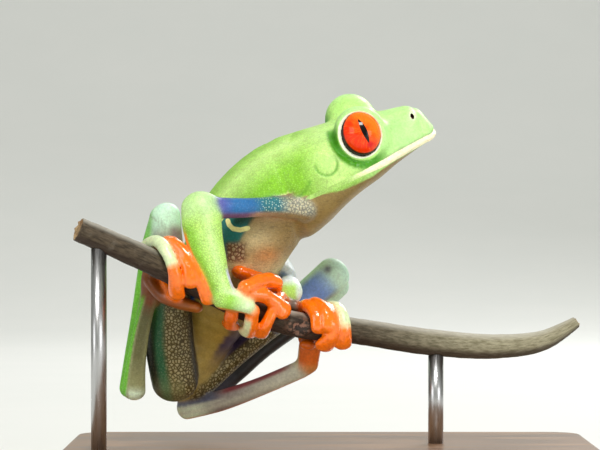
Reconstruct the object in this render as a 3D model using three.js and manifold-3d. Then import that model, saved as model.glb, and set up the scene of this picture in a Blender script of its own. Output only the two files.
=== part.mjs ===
// Red-eyed tree frog, life size, gripping a short cut length of branch held on a plain display stand.
// Millimetres. +Z is up, the frog faces +X and its left side is toward +Y.
// The origin is the centre of the underside of the stand's base.

import * as THREE from "three";
import { mergeVertices } from "three/addons/utils/BufferGeometryUtils.js";
import Module from "manifold-3d";

const wasm = await Module();
wasm.setup();

// ---------------------------------------------------------------- driving dimensions

const GAP = 0.3; // clearance between neighbouring pieces
const OUTWARD = [0, -1, 0]; // the way a section's depth is measured unless a row says otherwise

const BASE = { length: 76, width: 44, thick: 3, corner: 5, bevel: 0.4 };
const ROD_RADIUS = 1.1;
const ROD_AT = [-32.6, 15.2]; // where the rods meet the perch, along X
const HANG = 2; // the animal, perch and rods are all raised by this much over the heights below

const PERCH_RADIUS = 1.86; // where the frog grips it
// Centre line of the perch, and how thick it is there: x, y, z, radius.
const PERCH = [
  [-35.4, -13.2, 31.9, 1.75],
  [-26.9, -11.0, 28.1, 1.86],
  [-19.9, -9.3, 24.6, 1.86],
  [-11.5, -7.2, 20.4, 1.86],
  [-4.4, -5.5, 18.2, 1.86],
  [2.8, -3.8, 17.4, 1.9],
  [14.3, -1.1, 15.6, 1.95],
  [24.6, 1.3, 14.9, 1.8],
  [31.3, 2.8, 15.8, 1.5],
  [35.9, 3.9, 18.3, 0.9],
];

// Half sizes along f, l and u of the head's frame, and the eye's centre there.
const EYE = { half: [3.1, 3.4, 3.5], forward: -10.9, out: 5.7, up: 3.75 };
const LID = { half: [3.85, 4.05, 4.15], opening: 1.5 }; // the lids end in a plane this far out
const LID_TURN = { forward: 2, up: 10 }; // degrees of that plane off straight sideways

// The head's own frame: f runs forward from the snout tip, l to the frog's left, u up.
const SNOUT = [15.07, 1.9, 46.45];
const HEAD_TURN = { roll: 12, pitch: 18, yaw: 2 }; // degrees
// f, half width, top, widest height (the mouth line), bottom.
const HEAD = [
  [-0.5, 2.2, 1.6, -0.2, -0.9],
  [-2, 4.0, 3.7, -0.25, -1.2],
  [-4, 5.2, 4.3, -0.35, -1.7],
  [-7, 6.9, 4.8, -0.55, -2.6],
  [-10, 8.2, 5.2, -0.95, -3.8],
  [-13, 9.0, 5.5, -1.25, -4.8],
  [-16, 9.2, 5.6, -1.6, -6.3],
  [-19, 8.9, 5.4, -2.0, -8.0],
  [-22, 8.3, 4.9, -2.4, -9.0],
];
const JAW_BACK = -14.5; // f of the corner of the mouth

// Rows of a limb: x, y, z of its axis, half width as seen from the right, half depth.
// The trunk's rows add the roll of the section about the axis, in degrees.
const TRUNK = [
  [-21.9, 4.0, 9.0, 1.9, 2.2, 45],
  [-20.5, 4.4, 11.9, 3.2, 3.4, 42],
  [-18.1, 4.2, 17.9, 4.9, 5.0, 33],
  [-15.8, 3.4, 23.8, 6.4, 7.2, 22],
  [-13.6, 2.4, 29.6, 7.3, 8.5, 12],
  [-9.6, 2.0, 35.3, 7.3, 8.6, 5],
  [-4.8, 2.0, 39.0, 6.8, 8.5, -3],
  [-2.2, 2.0, 40.2, 5.6, 8.2, -10],
];

const RIGHT_ARM = {
  upper_arm: [
    [-3.8, -4.8, 34.9, 1.5, 1.5],
    [-7.2, -6.6, 35.1, 1.4, 1.4],
    [-12.9, -9.2, 35.0, 1.35, 1.35],
    [-18.2, -10.6, 34.9, 1.6, 1.5],
  ],
  forearm: [
    [-18.6, -10.8, 35.0, 2.55, 1.8],
    [-18.3, -11.2, 33.2, 2.8, 1.9],
    [-17.8, -11.5, 30.4, 2.6, 1.9],
    [-16.9, -11.7, 27.6, 2.2, 1.7],
    [-16.1, -11.7, 25.2, 1.8, 1.5],
    [-15.4, -11.7, 23.4, 1.7, 1.4],
  ],
  hand: [
    [-15.2, -11.8, 22.2, 1.6, 1.3],
    [-13.4, -11.8, 21.8, 1.5, 1.3],
    [-11.8, -11.6, 21.1, 1.1, 1.1],
  ],
};

const LEFT_ARM = {
  upper_arm: [
    [-4.7, 9.0, 36.8, 1.5, 1.5],
    [-8.1, 12.0, 34.4, 1.4, 1.4],
    [-11.9, 14.5, 30.9, 1.5, 1.5],
  ],
  forearm: [
    [-11.9, 14.5, 30.6, 1.8, 1.8],
    [-9.1, 9.5, 27.9, 2.3, 2.0],
    [-6.4, 3.0, 25.1, 1.5, 1.5],
  ],
  hand: [
    [-6.0, 0.4, 23.7, 1.6, 1.4],
    [-5.8, -1.2, 22.8, 1.75, 1.5],
    [-6.5, -2.6, 22.0, 1.3, 1.2],
  ],
};

const RIGHT_LEG = {
  thigh: [
    [-22.3, 0.0, 9.7, 3.1, 2.6],
    [-22.9, -1.0, 15.2, 2.95, 2.7],
    [-22.9, -2.4, 21.7, 2.65, 2.6],
    [-23.2, -3.4, 28.2, 2.2, 2.2],
    [-23.5, -3.4, 33.8, 1.95, 1.9],
  ],
  shank: [
    [-24.4, -2.6, 33.4, 1.6, 1.6],
    [-25.6, -1.8, 29.5, 1.6, 1.7],
    [-26.5, -0.8, 24.6, 1.5, 1.8],
    [-27.4, -0.2, 19.1, 1.45, 1.7],
    [-28.3, 0.2, 14.1, 1.4, 1.6],
    [-29.2, 0.4, 8.9, 1.35, 1.4],
  ],
  tarsus: [
    [-28.4, -2.2, 8.6, 1.5, 1.2],
    [-28.2, -3.2, 12.0, 1.2, 1.1],
    [-27.3, -4.2, 17.5, 1.0, 1.0],
    [-26.0, -5.0, 21.6, 1.1, 1.0],
  ],
  foot: [
    [-25.7, -4.8, 22.1, 1.4, 1.0],
    [-25.3, -6.4, 24.7, 1.75, 1.0],
    [-24.4, -8.0, 27.8, 1.7, 0.9],
  ],
};

const LEFT_LEG = {
  thigh: [
    [-19.6, 5.0, 8.6, 2.1, 2.3],
    [-14.4, 6.5, 13.1, 1.8, 2.2],
    [-8.1, 8.5, 18.2, 1.9, 2.1],
    [-3.2, 10.0, 22.1, 2.3, 2.1],
    [0.5, 10.6, 25.1, 2.6, 2.0],
  ],
  shank: [
    [1.1, 13.0, 23.5, 1.9, 1.6],
    [-3.2, 12.6, 19.2, 1.6, 1.6],
    [-10.1, 11.0, 14.1, 1.3, 1.5],
    [-15.5, 9.0, 10.0, 1.2, 1.3],
    [-20.6, 7.2, 6.4, 1.2, 1.2],
  ],
  tarsus: [
    [-20.8, 4.6, 5.7, 1.5, 1.2],
    [-16.2, 3.8, 6.8, 1.3, 1.1],
    [-9.9, 2.2, 9.2, 1.15, 1.0],
    [-4.3, 0.8, 11.6, 1.25, 1.0],
  ],
  foot: [
    [-3.2, 0.4, 12.3, 1.4, 1.1],
    [-2.8, -0.6, 15.2, 1.5, 1.1],
    [-2.1, -1.4, 18.5, 1.9, 1.0],
    [-1.6, -2.4, 20.2, 1.9, 0.9],
  ],
};

// Digits, from the first (inner) one: a size, then steps of [x along the perch, degrees round it,
// lift of the digit's axis off the bark]. 0 degrees is the top of the perch, 90 its side away from
// the body.
const DIGIT = { radius: 0.9, disc: 1.25, discDepth: 0.8 };
const DIGITS = {
  right_finger: [
    [1.1, [-14.2, 100, 1.2], [-13.6, 140, 1.1], [-13.1, 172, 1.1]],
    [1.25, [-14.0, 54, 2.9], [-12.6, 34, 3.2], [-11.3, 20, 3.3], [-10.1, 8, 3.3]],
    [1.2, [-13.4, 62, 2.2], [-11.5, 49, 2.3], [-9.6, 48, 1.7], [-7.8, 57, 1.1]],
    [1.15, [-11.9, 88, 1.8], [-11.2, 125, 1.3], [-10.9, 150, 1.1], [-10.8, 175, 1.1]],
  ],
  left_finger: [
    [1.1, [-8.7, -33, 3.7], [-11.3, -24, 3.5], [-12.9, -22, 3.4], [-14.4, -21, 3.3]],
    [0.95, [-7.4, -30, 1.6], [-8.6, 20, 1.2], [-9.2, 70, 1.0], [-9.4, 115, 1.0], [-9.5, 152, 1.0]],
    [1.0, [-6.4, -40, 1.4], [-6.7, -75, 1.1], [-7.2, -108, 1.0]],
    [1.0, [-5.2, -40, 1.4], [-5.0, -75, 1.1], [-5.1, -106, 1.0]],
  ],
  right_toe: [
    [1.0, [-22.6, 190, 3.0], [-21.2, 188, 2.3], [-19.6, 184, 1.6], [-17.8, 178, 1.1]],
    [0.95, [-24.0, -75, 1.4], [-22.6, -115, 1.1], [-21.4, -160, 1.0], [-20.8, -185, 1.0]],
    [1.0, [-24.8, -55, 1.4], [-23.8, 0, 1.1], [-21.6, 52, 1.0], [-20.2, 88, 1.0]],
    [1.0, [-24.6, -50, 2.0], [-24.0, 0, 1.9], [-21.0, 45, 1.5], [-19.2, 73, 1.2], [-17.3, 108, 1.0]],
    [1.0, [-26.4, -70, 1.4], [-25.6, 0, 1.1], [-24.0, 50, 1.0], [-22.4, 92, 1.0], [-20.9, 148, 1.0]],
  ],
  left_toe: [
    [1.0, [-3.0, -110, 1.8], [-2.8, -132, 1.3], [-2.7, -155, 1.0]],
    [1.05, [-4.0, -60, 1.3], [-3.9, 0, 1.1], [-3.0, 45, 1.0], [-2.3, 84, 1.0]],
    [1.1, [-2.9, -60, 1.5], [-2.7, 0, 1.5], [-1.8, 40, 1.7], [-1.1, 80, 1.7]],
    [1.15, [-1.9, -60, 1.3], [-1.7, 0, 1.2], [-0.6, 60, 1.2], [-0.6, 105, 1.2], [-1.1, 143, 1.1]],
    [1.1, [-0.8, -60, 1.3], [0.0, -5, 1.2], [1.0, 55, 1.1], [1.2, 92, 1.1], [1.3, 128, 1.1]],
  ],
};

const COLOUR = {
  green: 0x7cc242,
  paleGreen: 0x9bd17a,
  cream: 0xd8c9a4,
  blue: 0x4d6fb8,
  brown: 0x8a7446,
  orange: 0xff7a10,
  red: 0xe0301a,
  bark: 0x4a3a2e,
  stand: 0x2b2b2b,
  steel: 0x9a9a9a,
};

// ---------------------------------------------------------------- solids

const radians = THREE.MathUtils.degToRad;

// A closed geometry as a solid that can be joined and cut.
function solid(geometry) {
  geometry.deleteAttribute("normal");
  geometry.deleteAttribute("uv");
  const merged = mergeVertices(geometry, 1e-4);
  const mesh = new wasm.Mesh({
    numProp: 3,
    vertProperties: new Float32Array(merged.attributes.position.array),
    triVerts: new Uint32Array(merged.index.array),
  });
  return new wasm.Manifold(mesh);
}

// The largest of the bodies that a cut has left.
function largest(body) {
  return body.decompose().reduce((a, b) => (a.volume() > b.volume() ? a : b));
}

// A solid back as a geometry with flat faces.
function geometryOf(body) {
  const mesh = body.getMesh();
  const geometry = new THREE.BufferGeometry();
  geometry.setAttribute("position", new THREE.BufferAttribute(mesh.vertProperties, 3));
  geometry.setIndex(new THREE.BufferAttribute(mesh.triVerts, 1));
  return geometry;
}

// Rows of numbers as a smooth function of the places that they are given for.
function smooth(places, rows) {
  const width = rows[0].length;
  const curve = new THREE.CubicInterpolant(places, rows.flat(), width);
  return (place) => Array.from(curve.evaluate(place));
}

// How far along the axis each row lies.
function distances(rows) {
  const along = [0];
  for (let i = 1; i < rows.length; i++) {
    const step = [0, 1, 2].map((axis) => rows[i][axis] - rows[i - 1][axis]);
    along.push(along[i - 1] + Math.hypot(...step));
  }
  return along;
}

// A body with round ends and oval sections along an axis. Each row holds x, y, z, the half width,
// the half depth and the direction in which the depth is measured. Its ends are round unless flat
// is set, and grow swells it all round.
function limb(rows, { sides = 12, rings = 8, caps = 3, flat = false, grow = 0 } = {}) {
  const full = rows.map((row) => (row.length < 8 ? [...row.slice(0, 5), ...OUTWARD] : row));
  const along = distances(full);
  const length = along.at(-1);
  const place = smooth(along, full);
  const geometry = new THREE.SphereGeometry(1, sides, rings + 2 * caps);
  const position = geometry.attributes.position;
  const nudge = length * 1e-3;
  for (let i = 0; i < position.count; i++) {
    const ring = Math.floor(i / (sides + 1));
    const first = Math.min(ring / caps, 1);
    const last = Math.min((rings + 2 * caps - ring) / caps, 1);
    const middle = THREE.MathUtils.clamp((ring - caps) / rings, 0, 1) * length;
    const [x, y, z, wide, deep, ...facing] = place(middle);
    const ahead = new THREE.Vector3(...place(Math.min(middle + nudge, length)));
    const behind = new THREE.Vector3(...place(Math.max(middle - nudge, 0)));
    const tangent = ahead.sub(behind).normalize();
    const front = new THREE.Vector3(...facing);
    front.addScaledVector(tangent, -front.dot(tangent)).normalize();
    const side = front.clone().cross(tangent);
    const swell = flat ? Math.ceil(Math.min(first, last)) : Math.sin((Math.min(first, last) * Math.PI) / 2);
    const reach = Math.cos((last * Math.PI) / 2) - Math.cos((first * Math.PI) / 2);
    const turn = ((i % (sides + 1)) / sides) * 2 * Math.PI;
    const vertex = new THREE.Vector3(x, y, z)
      .addScaledVector(side, -Math.cos(turn) * swell * (wide + grow))
      .addScaledVector(front, Math.sin(turn) * swell * (deep + grow))
      .addScaledVector(tangent, reach * (flat ? grow : (wide + deep) / 2 + grow));
    position.setXYZ(i, ...vertex.toArray());
  }
  return solid(geometry);
}

// ---------------------------------------------------------------- perch and what grips it

const perchLine = smooth(
  PERCH.map((row) => row[0]),
  PERCH,
);

// A point on a digit's axis and the way out from the perch there.
function around(x, angle, lift) {
  const centre = new THREE.Vector3(...perchLine(x).slice(0, 3));
  const ahead = new THREE.Vector3(...perchLine(x + 0.1).slice(0, 3));
  const tangent = ahead.sub(centre).normalize();
  const front = new THREE.Vector3(...OUTWARD);
  front.addScaledVector(tangent, -front.dot(tangent)).normalize();
  const top = front.clone().cross(tangent);
  const out = top.multiplyScalar(Math.cos(radians(angle)));
  out.addScaledVector(front, Math.sin(radians(angle)));
  const point = centre.addScaledVector(out, PERCH_RADIUS + lift);
  return { point: point.toArray(), out: out.toArray() };
}

function perchRows() {
  const steps = 24;
  const first = PERCH[0][0];
  const last = PERCH.at(-1)[0];
  return Array.from({ length: steps + 1 }, (_, i) => {
    const [x, y, z, radius] = perchLine(first + ((last - first) * i) / steps);
    return [x, y, z, radius, radius];
  });
}

// A digit's rows: an even shaft that flattens and widens into the disc at its tip.
function digitRows([size, ...steps]) {
  const place = smooth(
    steps.map((_, i) => i),
    steps,
  );
  const count = 8;
  return Array.from({ length: count + 1 }, (_, i) => {
    const t = i / count;
    const { point, out } = around(...place(t * (steps.length - 1)));
    const disc = THREE.MathUtils.smoothstep(t, 0.72, 0.95);
    const wide = THREE.MathUtils.lerp(DIGIT.radius, DIGIT.disc, disc);
    const deep = THREE.MathUtils.lerp(DIGIT.radius, DIGIT.discDepth, disc);
    return [...point, size * wide, size * deep, ...out];
  });
}

// ---------------------------------------------------------------- head

const headFrame = new THREE.Matrix4();
headFrame.makeRotationFromEuler(
  new THREE.Euler(
    radians(HEAD_TURN.roll),
    radians(-HEAD_TURN.pitch),
    radians(HEAD_TURN.yaw),
    "ZYX",
  ),
);
headFrame.setPosition(...SNOUT);

// The head's rows by their distance behind the snout tip.
const headProfile = smooth(
  HEAD.map((row) => -row[0]),
  HEAD,
);

// Skull and jaw as one body: squarish half ovals above and below the mouth line.
function skull(grow) {
  const sides = 20;
  const rings = 11;
  const squareness = 0.85;
  const geometry = new THREE.SphereGeometry(1, sides, rings + 2);
  const position = geometry.attributes.position;
  const front = -HEAD[0][0];
  const back = -HEAD.at(-1)[0];
  for (let i = 0; i < position.count; i++) {
    const ring = Math.floor(i / (sides + 1));
    const t = THREE.MathUtils.clamp((ring - 1) / rings, 0, 1);
    const [f, wide, top, mouth, bottom] = headProfile(front + (back - front) * t);
    const turn = ((i % (sides + 1)) / sides) * 2 * Math.PI;
    const snout = ring === 0;
    const nape = ring === rings + 2;
    const swell = snout || nape ? 0 : 1;
    const across = Math.sign(Math.sin(turn)) * Math.abs(Math.sin(turn)) ** squareness;
    const height = Math.cos(turn);
    const tall = height > 0 ? top - mouth + grow : mouth - bottom + grow;
    position.setXYZ(
      i,
      snout ? grow : nape ? f - grow : f,
      -across * swell * (wide + grow),
      mouth + Math.sign(height) * Math.abs(height) ** squareness * swell * tall,
    );
  }
  return solid(geometry.applyMatrix4(headFrame));
}

function eyeCentre(side) {
  return new THREE.Vector3(EYE.forward, side * EYE.out, EYE.up);
}

// An eye or its lids: an oval with half sizes along the head's own axes.
function oval(side, half, grow) {
  const geometry = new THREE.SphereGeometry(1, 14, 10);
  geometry.scale(...half.map((size) => size + grow));
  geometry.translate(...eyeCentre(side).toArray());
  return solid(geometry.applyMatrix4(headFrame));
}

// What is cleared in front of an eye so that the lids end in a ring round it.
function lidOpening(side) {
  const reach = Math.max(...LID.half);
  const geometry = new THREE.CylinderGeometry(reach, reach, reach, 14);
  geometry.translate(0, LID.opening + reach / 2, 0);
  const forward = radians(LID_TURN.forward);
  const up = radians(LID_TURN.up);
  const out = side * Math.cos(forward) * Math.cos(up);
  const aim = new THREE.Vector3(Math.sin(forward), out, Math.sin(up)).normalize();
  const turn = new THREE.Quaternion().setFromUnitVectors(new THREE.Vector3(0, 1, 0), aim);
  geometry.applyQuaternion(turn);
  geometry.translate(...eyeCentre(side).toArray());
  return solid(geometry.applyMatrix4(headFrame));
}

// Everything below the mouth line and in front of its corner, moved down by drop.
function jawRegion(drop) {
  const step = 2.5;
  const below = -12;
  const ahead = 3;
  const outline = new THREE.Shape();
  outline.moveTo(ahead, HEAD[0][3] - drop);
  for (let f = -1; f > JAW_BACK; f -= step) outline.lineTo(f + drop, headProfile(-f)[3] - drop);
  outline.lineTo(JAW_BACK + drop, headProfile(-JAW_BACK)[3] - drop);
  outline.lineTo(JAW_BACK - 2 + drop, below);
  outline.lineTo(ahead, below);
  const width = 24;
  const geometry = new THREE.ExtrudeGeometry(outline, { depth: width, bevelEnabled: false });
  geometry.rotateX(Math.PI / 2);
  geometry.translate(0, width / 2, 0);
  return solid(geometry.applyMatrix4(headFrame));
}

// ---------------------------------------------------------------- trunk

// The trunk's rows with each section's roll turned into the way its depth faces.
function trunkRows() {
  const spine = new THREE.Vector3(...TRUNK.at(-1)).sub(new THREE.Vector3(...TRUNK[0]));
  spine.normalize();
  return TRUNK.map(([x, y, z, wide, deep, roll]) => {
    const facing = new THREE.Vector3(...OUTWARD).applyAxisAngle(spine, radians(roll));
    return [x, y, z, wide, deep, ...facing.toArray()];
  });
}

// ---------------------------------------------------------------- stand

function baseGeometry() {
  const { length, width, thick, corner, bevel } = BASE;
  const x = length / 2 - bevel;
  const y = width / 2 - bevel;
  const outline = new THREE.Shape();
  outline.moveTo(-x + corner, -y);
  outline.lineTo(x - corner, -y);
  outline.absarc(x - corner, -y + corner, corner, -Math.PI / 2, 0);
  outline.lineTo(x, y - corner);
  outline.absarc(x - corner, y - corner, corner, 0, Math.PI / 2);
  outline.lineTo(-x + corner, y);
  outline.absarc(-x + corner, y - corner, corner, Math.PI / 2, Math.PI);
  outline.lineTo(-x, -y + corner);
  outline.absarc(-x + corner, -y + corner, corner, Math.PI, 1.5 * Math.PI);
  const geometry = new THREE.ExtrudeGeometry(outline, {
    depth: thick - 2 * bevel,
    bevelThickness: bevel,
    bevelSize: bevel,
    bevelSegments: 1,
    curveSegments: 3,
  });
  return geometry.translate(0, 0, bevel);
}

// A rod from the base up to the perch over it.
function rod(x) {
  const [, y, z] = perchLine(x);
  const bottom = BASE.thick + GAP - HANG;
  const geometry = new THREE.CylinderGeometry(ROD_RADIUS, ROD_RADIUS, z - bottom, 12);
  geometry.rotateX(Math.PI / 2);
  geometry.translate(x, y, (z + bottom) / 2);
  return solid(geometry);
}

// ---------------------------------------------------------------- assembly

// Pieces in the order in which they keep their shape: each later one gives way to those before it.
// make(grow) returns the piece swollen by grow.
const pieces = [];
function piece(name, colour, make) {
  pieces.push({ name, colour, make });
}

const PERCH_SHAPE = { sides: 10, rings: 18, caps: 1, flat: true };
const TRUNK_SHAPE = { sides: 16, rings: 12 };
const LIMB_SHAPE = { sides: 10, rings: 5, caps: 2 };
const DIGIT_SHAPE = { sides: 7, rings: 5, caps: 2 };

piece("perch", COLOUR.bark, (grow) => limb(perchRows(), { ...PERCH_SHAPE, grow }));
ROD_AT.forEach((x, i) => piece(`stand_rod_${i + 1}`, COLOUR.steel, () => rod(x)));
for (const [name, side] of [
  ["right", -1],
  ["left", 1],
]) {
  piece(`${name}_eye`, COLOUR.red, (grow) => oval(side, EYE.half, grow));
}
const lids = (grow) => oval(-1, LID.half, grow).add(oval(1, LID.half, grow));
const wholeHead = (grow) => skull(grow).add(lids(grow));
const openings = lidOpening(-1).add(lidOpening(1));
piece("lower_jaw", COLOUR.cream, (grow) =>
  grow ? skull(grow).intersect(jawRegion(0)) : skull(0).intersect(jawRegion(GAP / 2)),
);
piece("head", COLOUR.green, (grow) => (grow ? wholeHead(grow) : wholeHead(0).subtract(openings)));
piece("trunk", COLOUR.green, (grow) => limb(trunkRows(), { ...TRUNK_SHAPE, grow }));

function limbPiece(name, colour, rows, shape) {
  piece(name, colour, (grow) => limb(rows, { ...shape, grow }));
}

const SEGMENT_COLOUR = {
  thigh: COLOUR.brown,
  shank: COLOUR.green,
  tarsus: COLOUR.cream,
  foot: COLOUR.orange,
  upper_arm: COLOUR.blue,
  forearm: COLOUR.green,
  hand: COLOUR.paleGreen,
};
const LIMBS = { right: { ...RIGHT_LEG, ...RIGHT_ARM }, left: { ...LEFT_LEG, ...LEFT_ARM } };
for (const [side, segments] of Object.entries(LIMBS)) {
  for (const [segment, rows] of Object.entries(segments)) {
    limbPiece(`${side}_${segment}`, SEGMENT_COLOUR[segment], rows, LIMB_SHAPE);
  }
}
for (const [digit, list] of Object.entries(DIGITS)) {
  list.forEach((steps, i) =>
    limbPiece(`${digit}_${i + 1}`, COLOUR.orange, digitRows(steps), DIGIT_SHAPE),
  );
}

const frog = new THREE.Group();
frog.name = "red_eyed_tree_frog";
const figure = new THREE.Group();
figure.position.z = HANG;
frog.add(figure);

function material(colour, roughness = 0.6, metalness = 0) {
  return new THREE.MeshStandardMaterial({ color: colour, roughness, metalness });
}

const kept = [];
for (const { name, colour, make } of pieces) {
  let body = make(0);
  for (const earlier of kept) body = body.subtract(earlier);
  body = largest(body);
  kept.push(make(GAP));
  const mesh = new THREE.Mesh(geometryOf(body), material(colour));
  mesh.name = name;
  figure.add(mesh);
}

const base = new THREE.Mesh(baseGeometry(), material(COLOUR.stand));
base.name = "stand_base";
frog.add(base);

export default frog;
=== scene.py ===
# Red-eyed tree frog on a cut branch and a plain stand: its skin, eyes, bark and stand.
# Shapes are worked out in millimetres and become metres when their mesh is made.
import math

import bpy
import numpy as np
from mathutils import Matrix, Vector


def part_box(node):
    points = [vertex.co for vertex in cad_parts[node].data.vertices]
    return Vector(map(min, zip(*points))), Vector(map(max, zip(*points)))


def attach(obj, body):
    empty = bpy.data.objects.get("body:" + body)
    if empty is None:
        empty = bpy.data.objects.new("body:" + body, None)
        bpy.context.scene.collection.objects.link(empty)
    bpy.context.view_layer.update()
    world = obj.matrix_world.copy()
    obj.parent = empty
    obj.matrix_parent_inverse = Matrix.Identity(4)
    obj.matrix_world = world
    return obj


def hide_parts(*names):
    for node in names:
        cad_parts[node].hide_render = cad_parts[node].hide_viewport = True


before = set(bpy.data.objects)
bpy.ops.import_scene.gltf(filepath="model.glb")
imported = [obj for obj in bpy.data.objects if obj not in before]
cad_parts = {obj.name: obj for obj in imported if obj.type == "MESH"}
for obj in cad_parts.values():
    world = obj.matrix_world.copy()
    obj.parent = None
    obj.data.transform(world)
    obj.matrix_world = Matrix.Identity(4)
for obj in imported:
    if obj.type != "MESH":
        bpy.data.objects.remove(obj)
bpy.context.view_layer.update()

METRES = 0.001
HANG = 2.0  # the animal, perch and rods are raised by this much over the heights in the rows below
OUTWARD = (0.0, -1.0, 0.0)


# ---------------------------------------------------------------- smooth rows

def smooth(places, rows):
    """Rows of numbers as a smooth function of the places that they are given for."""
    places = np.array(places, float)
    rows = np.array(rows, float)
    last = len(places) - 1

    def at(where):
        where = np.clip(np.atleast_1d(np.asarray(where, float)), places[0], places[-1])
        high = np.clip(np.searchsorted(places, where, side="right"), 1, last)
        low = high - 1
        before = np.where(low == 0, high, low - 1)
        after = np.where(high == last, low, np.minimum(high + 1, last))
        start, stop = places[low], places[high]
        back = np.where(low == 0, 2 * start - stop, places[before])
        ahead = np.where(high == last, 2 * stop - start, places[after])
        half = (stop - start) / 2
        pull = half / (start - back)
        push = half / (ahead - stop)
        p = (where - start) / (stop - start)
        weights = (
            (before, -pull * p**3 + 2 * pull * p**2 - pull * p),
            (low, (1 + pull) * p**3 + (-1.5 - 2 * pull) * p**2 + (-0.5 + pull) * p + 1),
            (high, (-1 - push) * p**3 + (1.5 + push) * p**2 + 0.5 * p),
            (after, push * p**3 - push * p**2),
        )
        return sum(rows[index] * weight[:, None] for index, weight in weights)

    return at


def unit(vectors):
    vectors = np.asarray(vectors, float)
    return vectors / np.linalg.norm(vectors, axis=-1, keepdims=True)


def distances(points):
    """How far along the axis each row lies."""
    steps = np.linalg.norm(np.diff(points, axis=0), axis=1)
    return np.concatenate([[0], np.cumsum(steps)])


def ease(value, low, high):
    """0 below low, 1 above high and a smooth step between."""
    t = np.clip((value - low) / (high - low), 0, 1)
    return t * t * (3 - 2 * t)


# ---------------------------------------------------------------- perch line

PERCH_RADIUS = 1.86
# Centre line of the perch, and how thick it is there: x, y, z, radius.
PERCH = [
    (-35.4, -13.2, 31.9, 1.75),
    (-26.9, -11.0, 28.1, 1.86),
    (-19.9, -9.3, 24.6, 1.86),
    (-11.5, -7.2, 20.4, 1.86),
    (-4.4, -5.5, 18.2, 1.86),
    (2.8, -3.8, 17.4, 1.9),
    (14.3, -1.1, 15.6, 1.95),
    (24.6, 1.3, 14.9, 1.8),
    (31.3, 2.8, 15.8, 1.5),
    (35.9, 3.9, 18.3, 0.9),
]
perch_line = smooth([row[0] for row in PERCH], PERCH)


def perch_frames(x):
    """The perch's centre, direction, camera side and top at each x."""
    centre = perch_line(x)[:, :3]
    tangent = unit(perch_line(np.asarray(x) + 0.1)[:, :3] - perch_line(np.asarray(x) - 0.1)[:, :3])
    front = np.array(OUTWARD) - tangent * (tangent @ np.array(OUTWARD))[:, None]
    front = unit(front)
    return centre, tangent, front, np.cross(front, tangent)


def around(x, angle, lift):
    """A point on a digit's axis and the way out from the perch there."""
    centre, _, front, top = perch_frames([x])
    turn = math.radians(angle)
    out = top[0] * math.cos(turn) + front[0] * math.sin(turn)
    return centre[0] + out * (PERCH_RADIUS + lift), out


# ---------------------------------------------------------------- limbs

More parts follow.
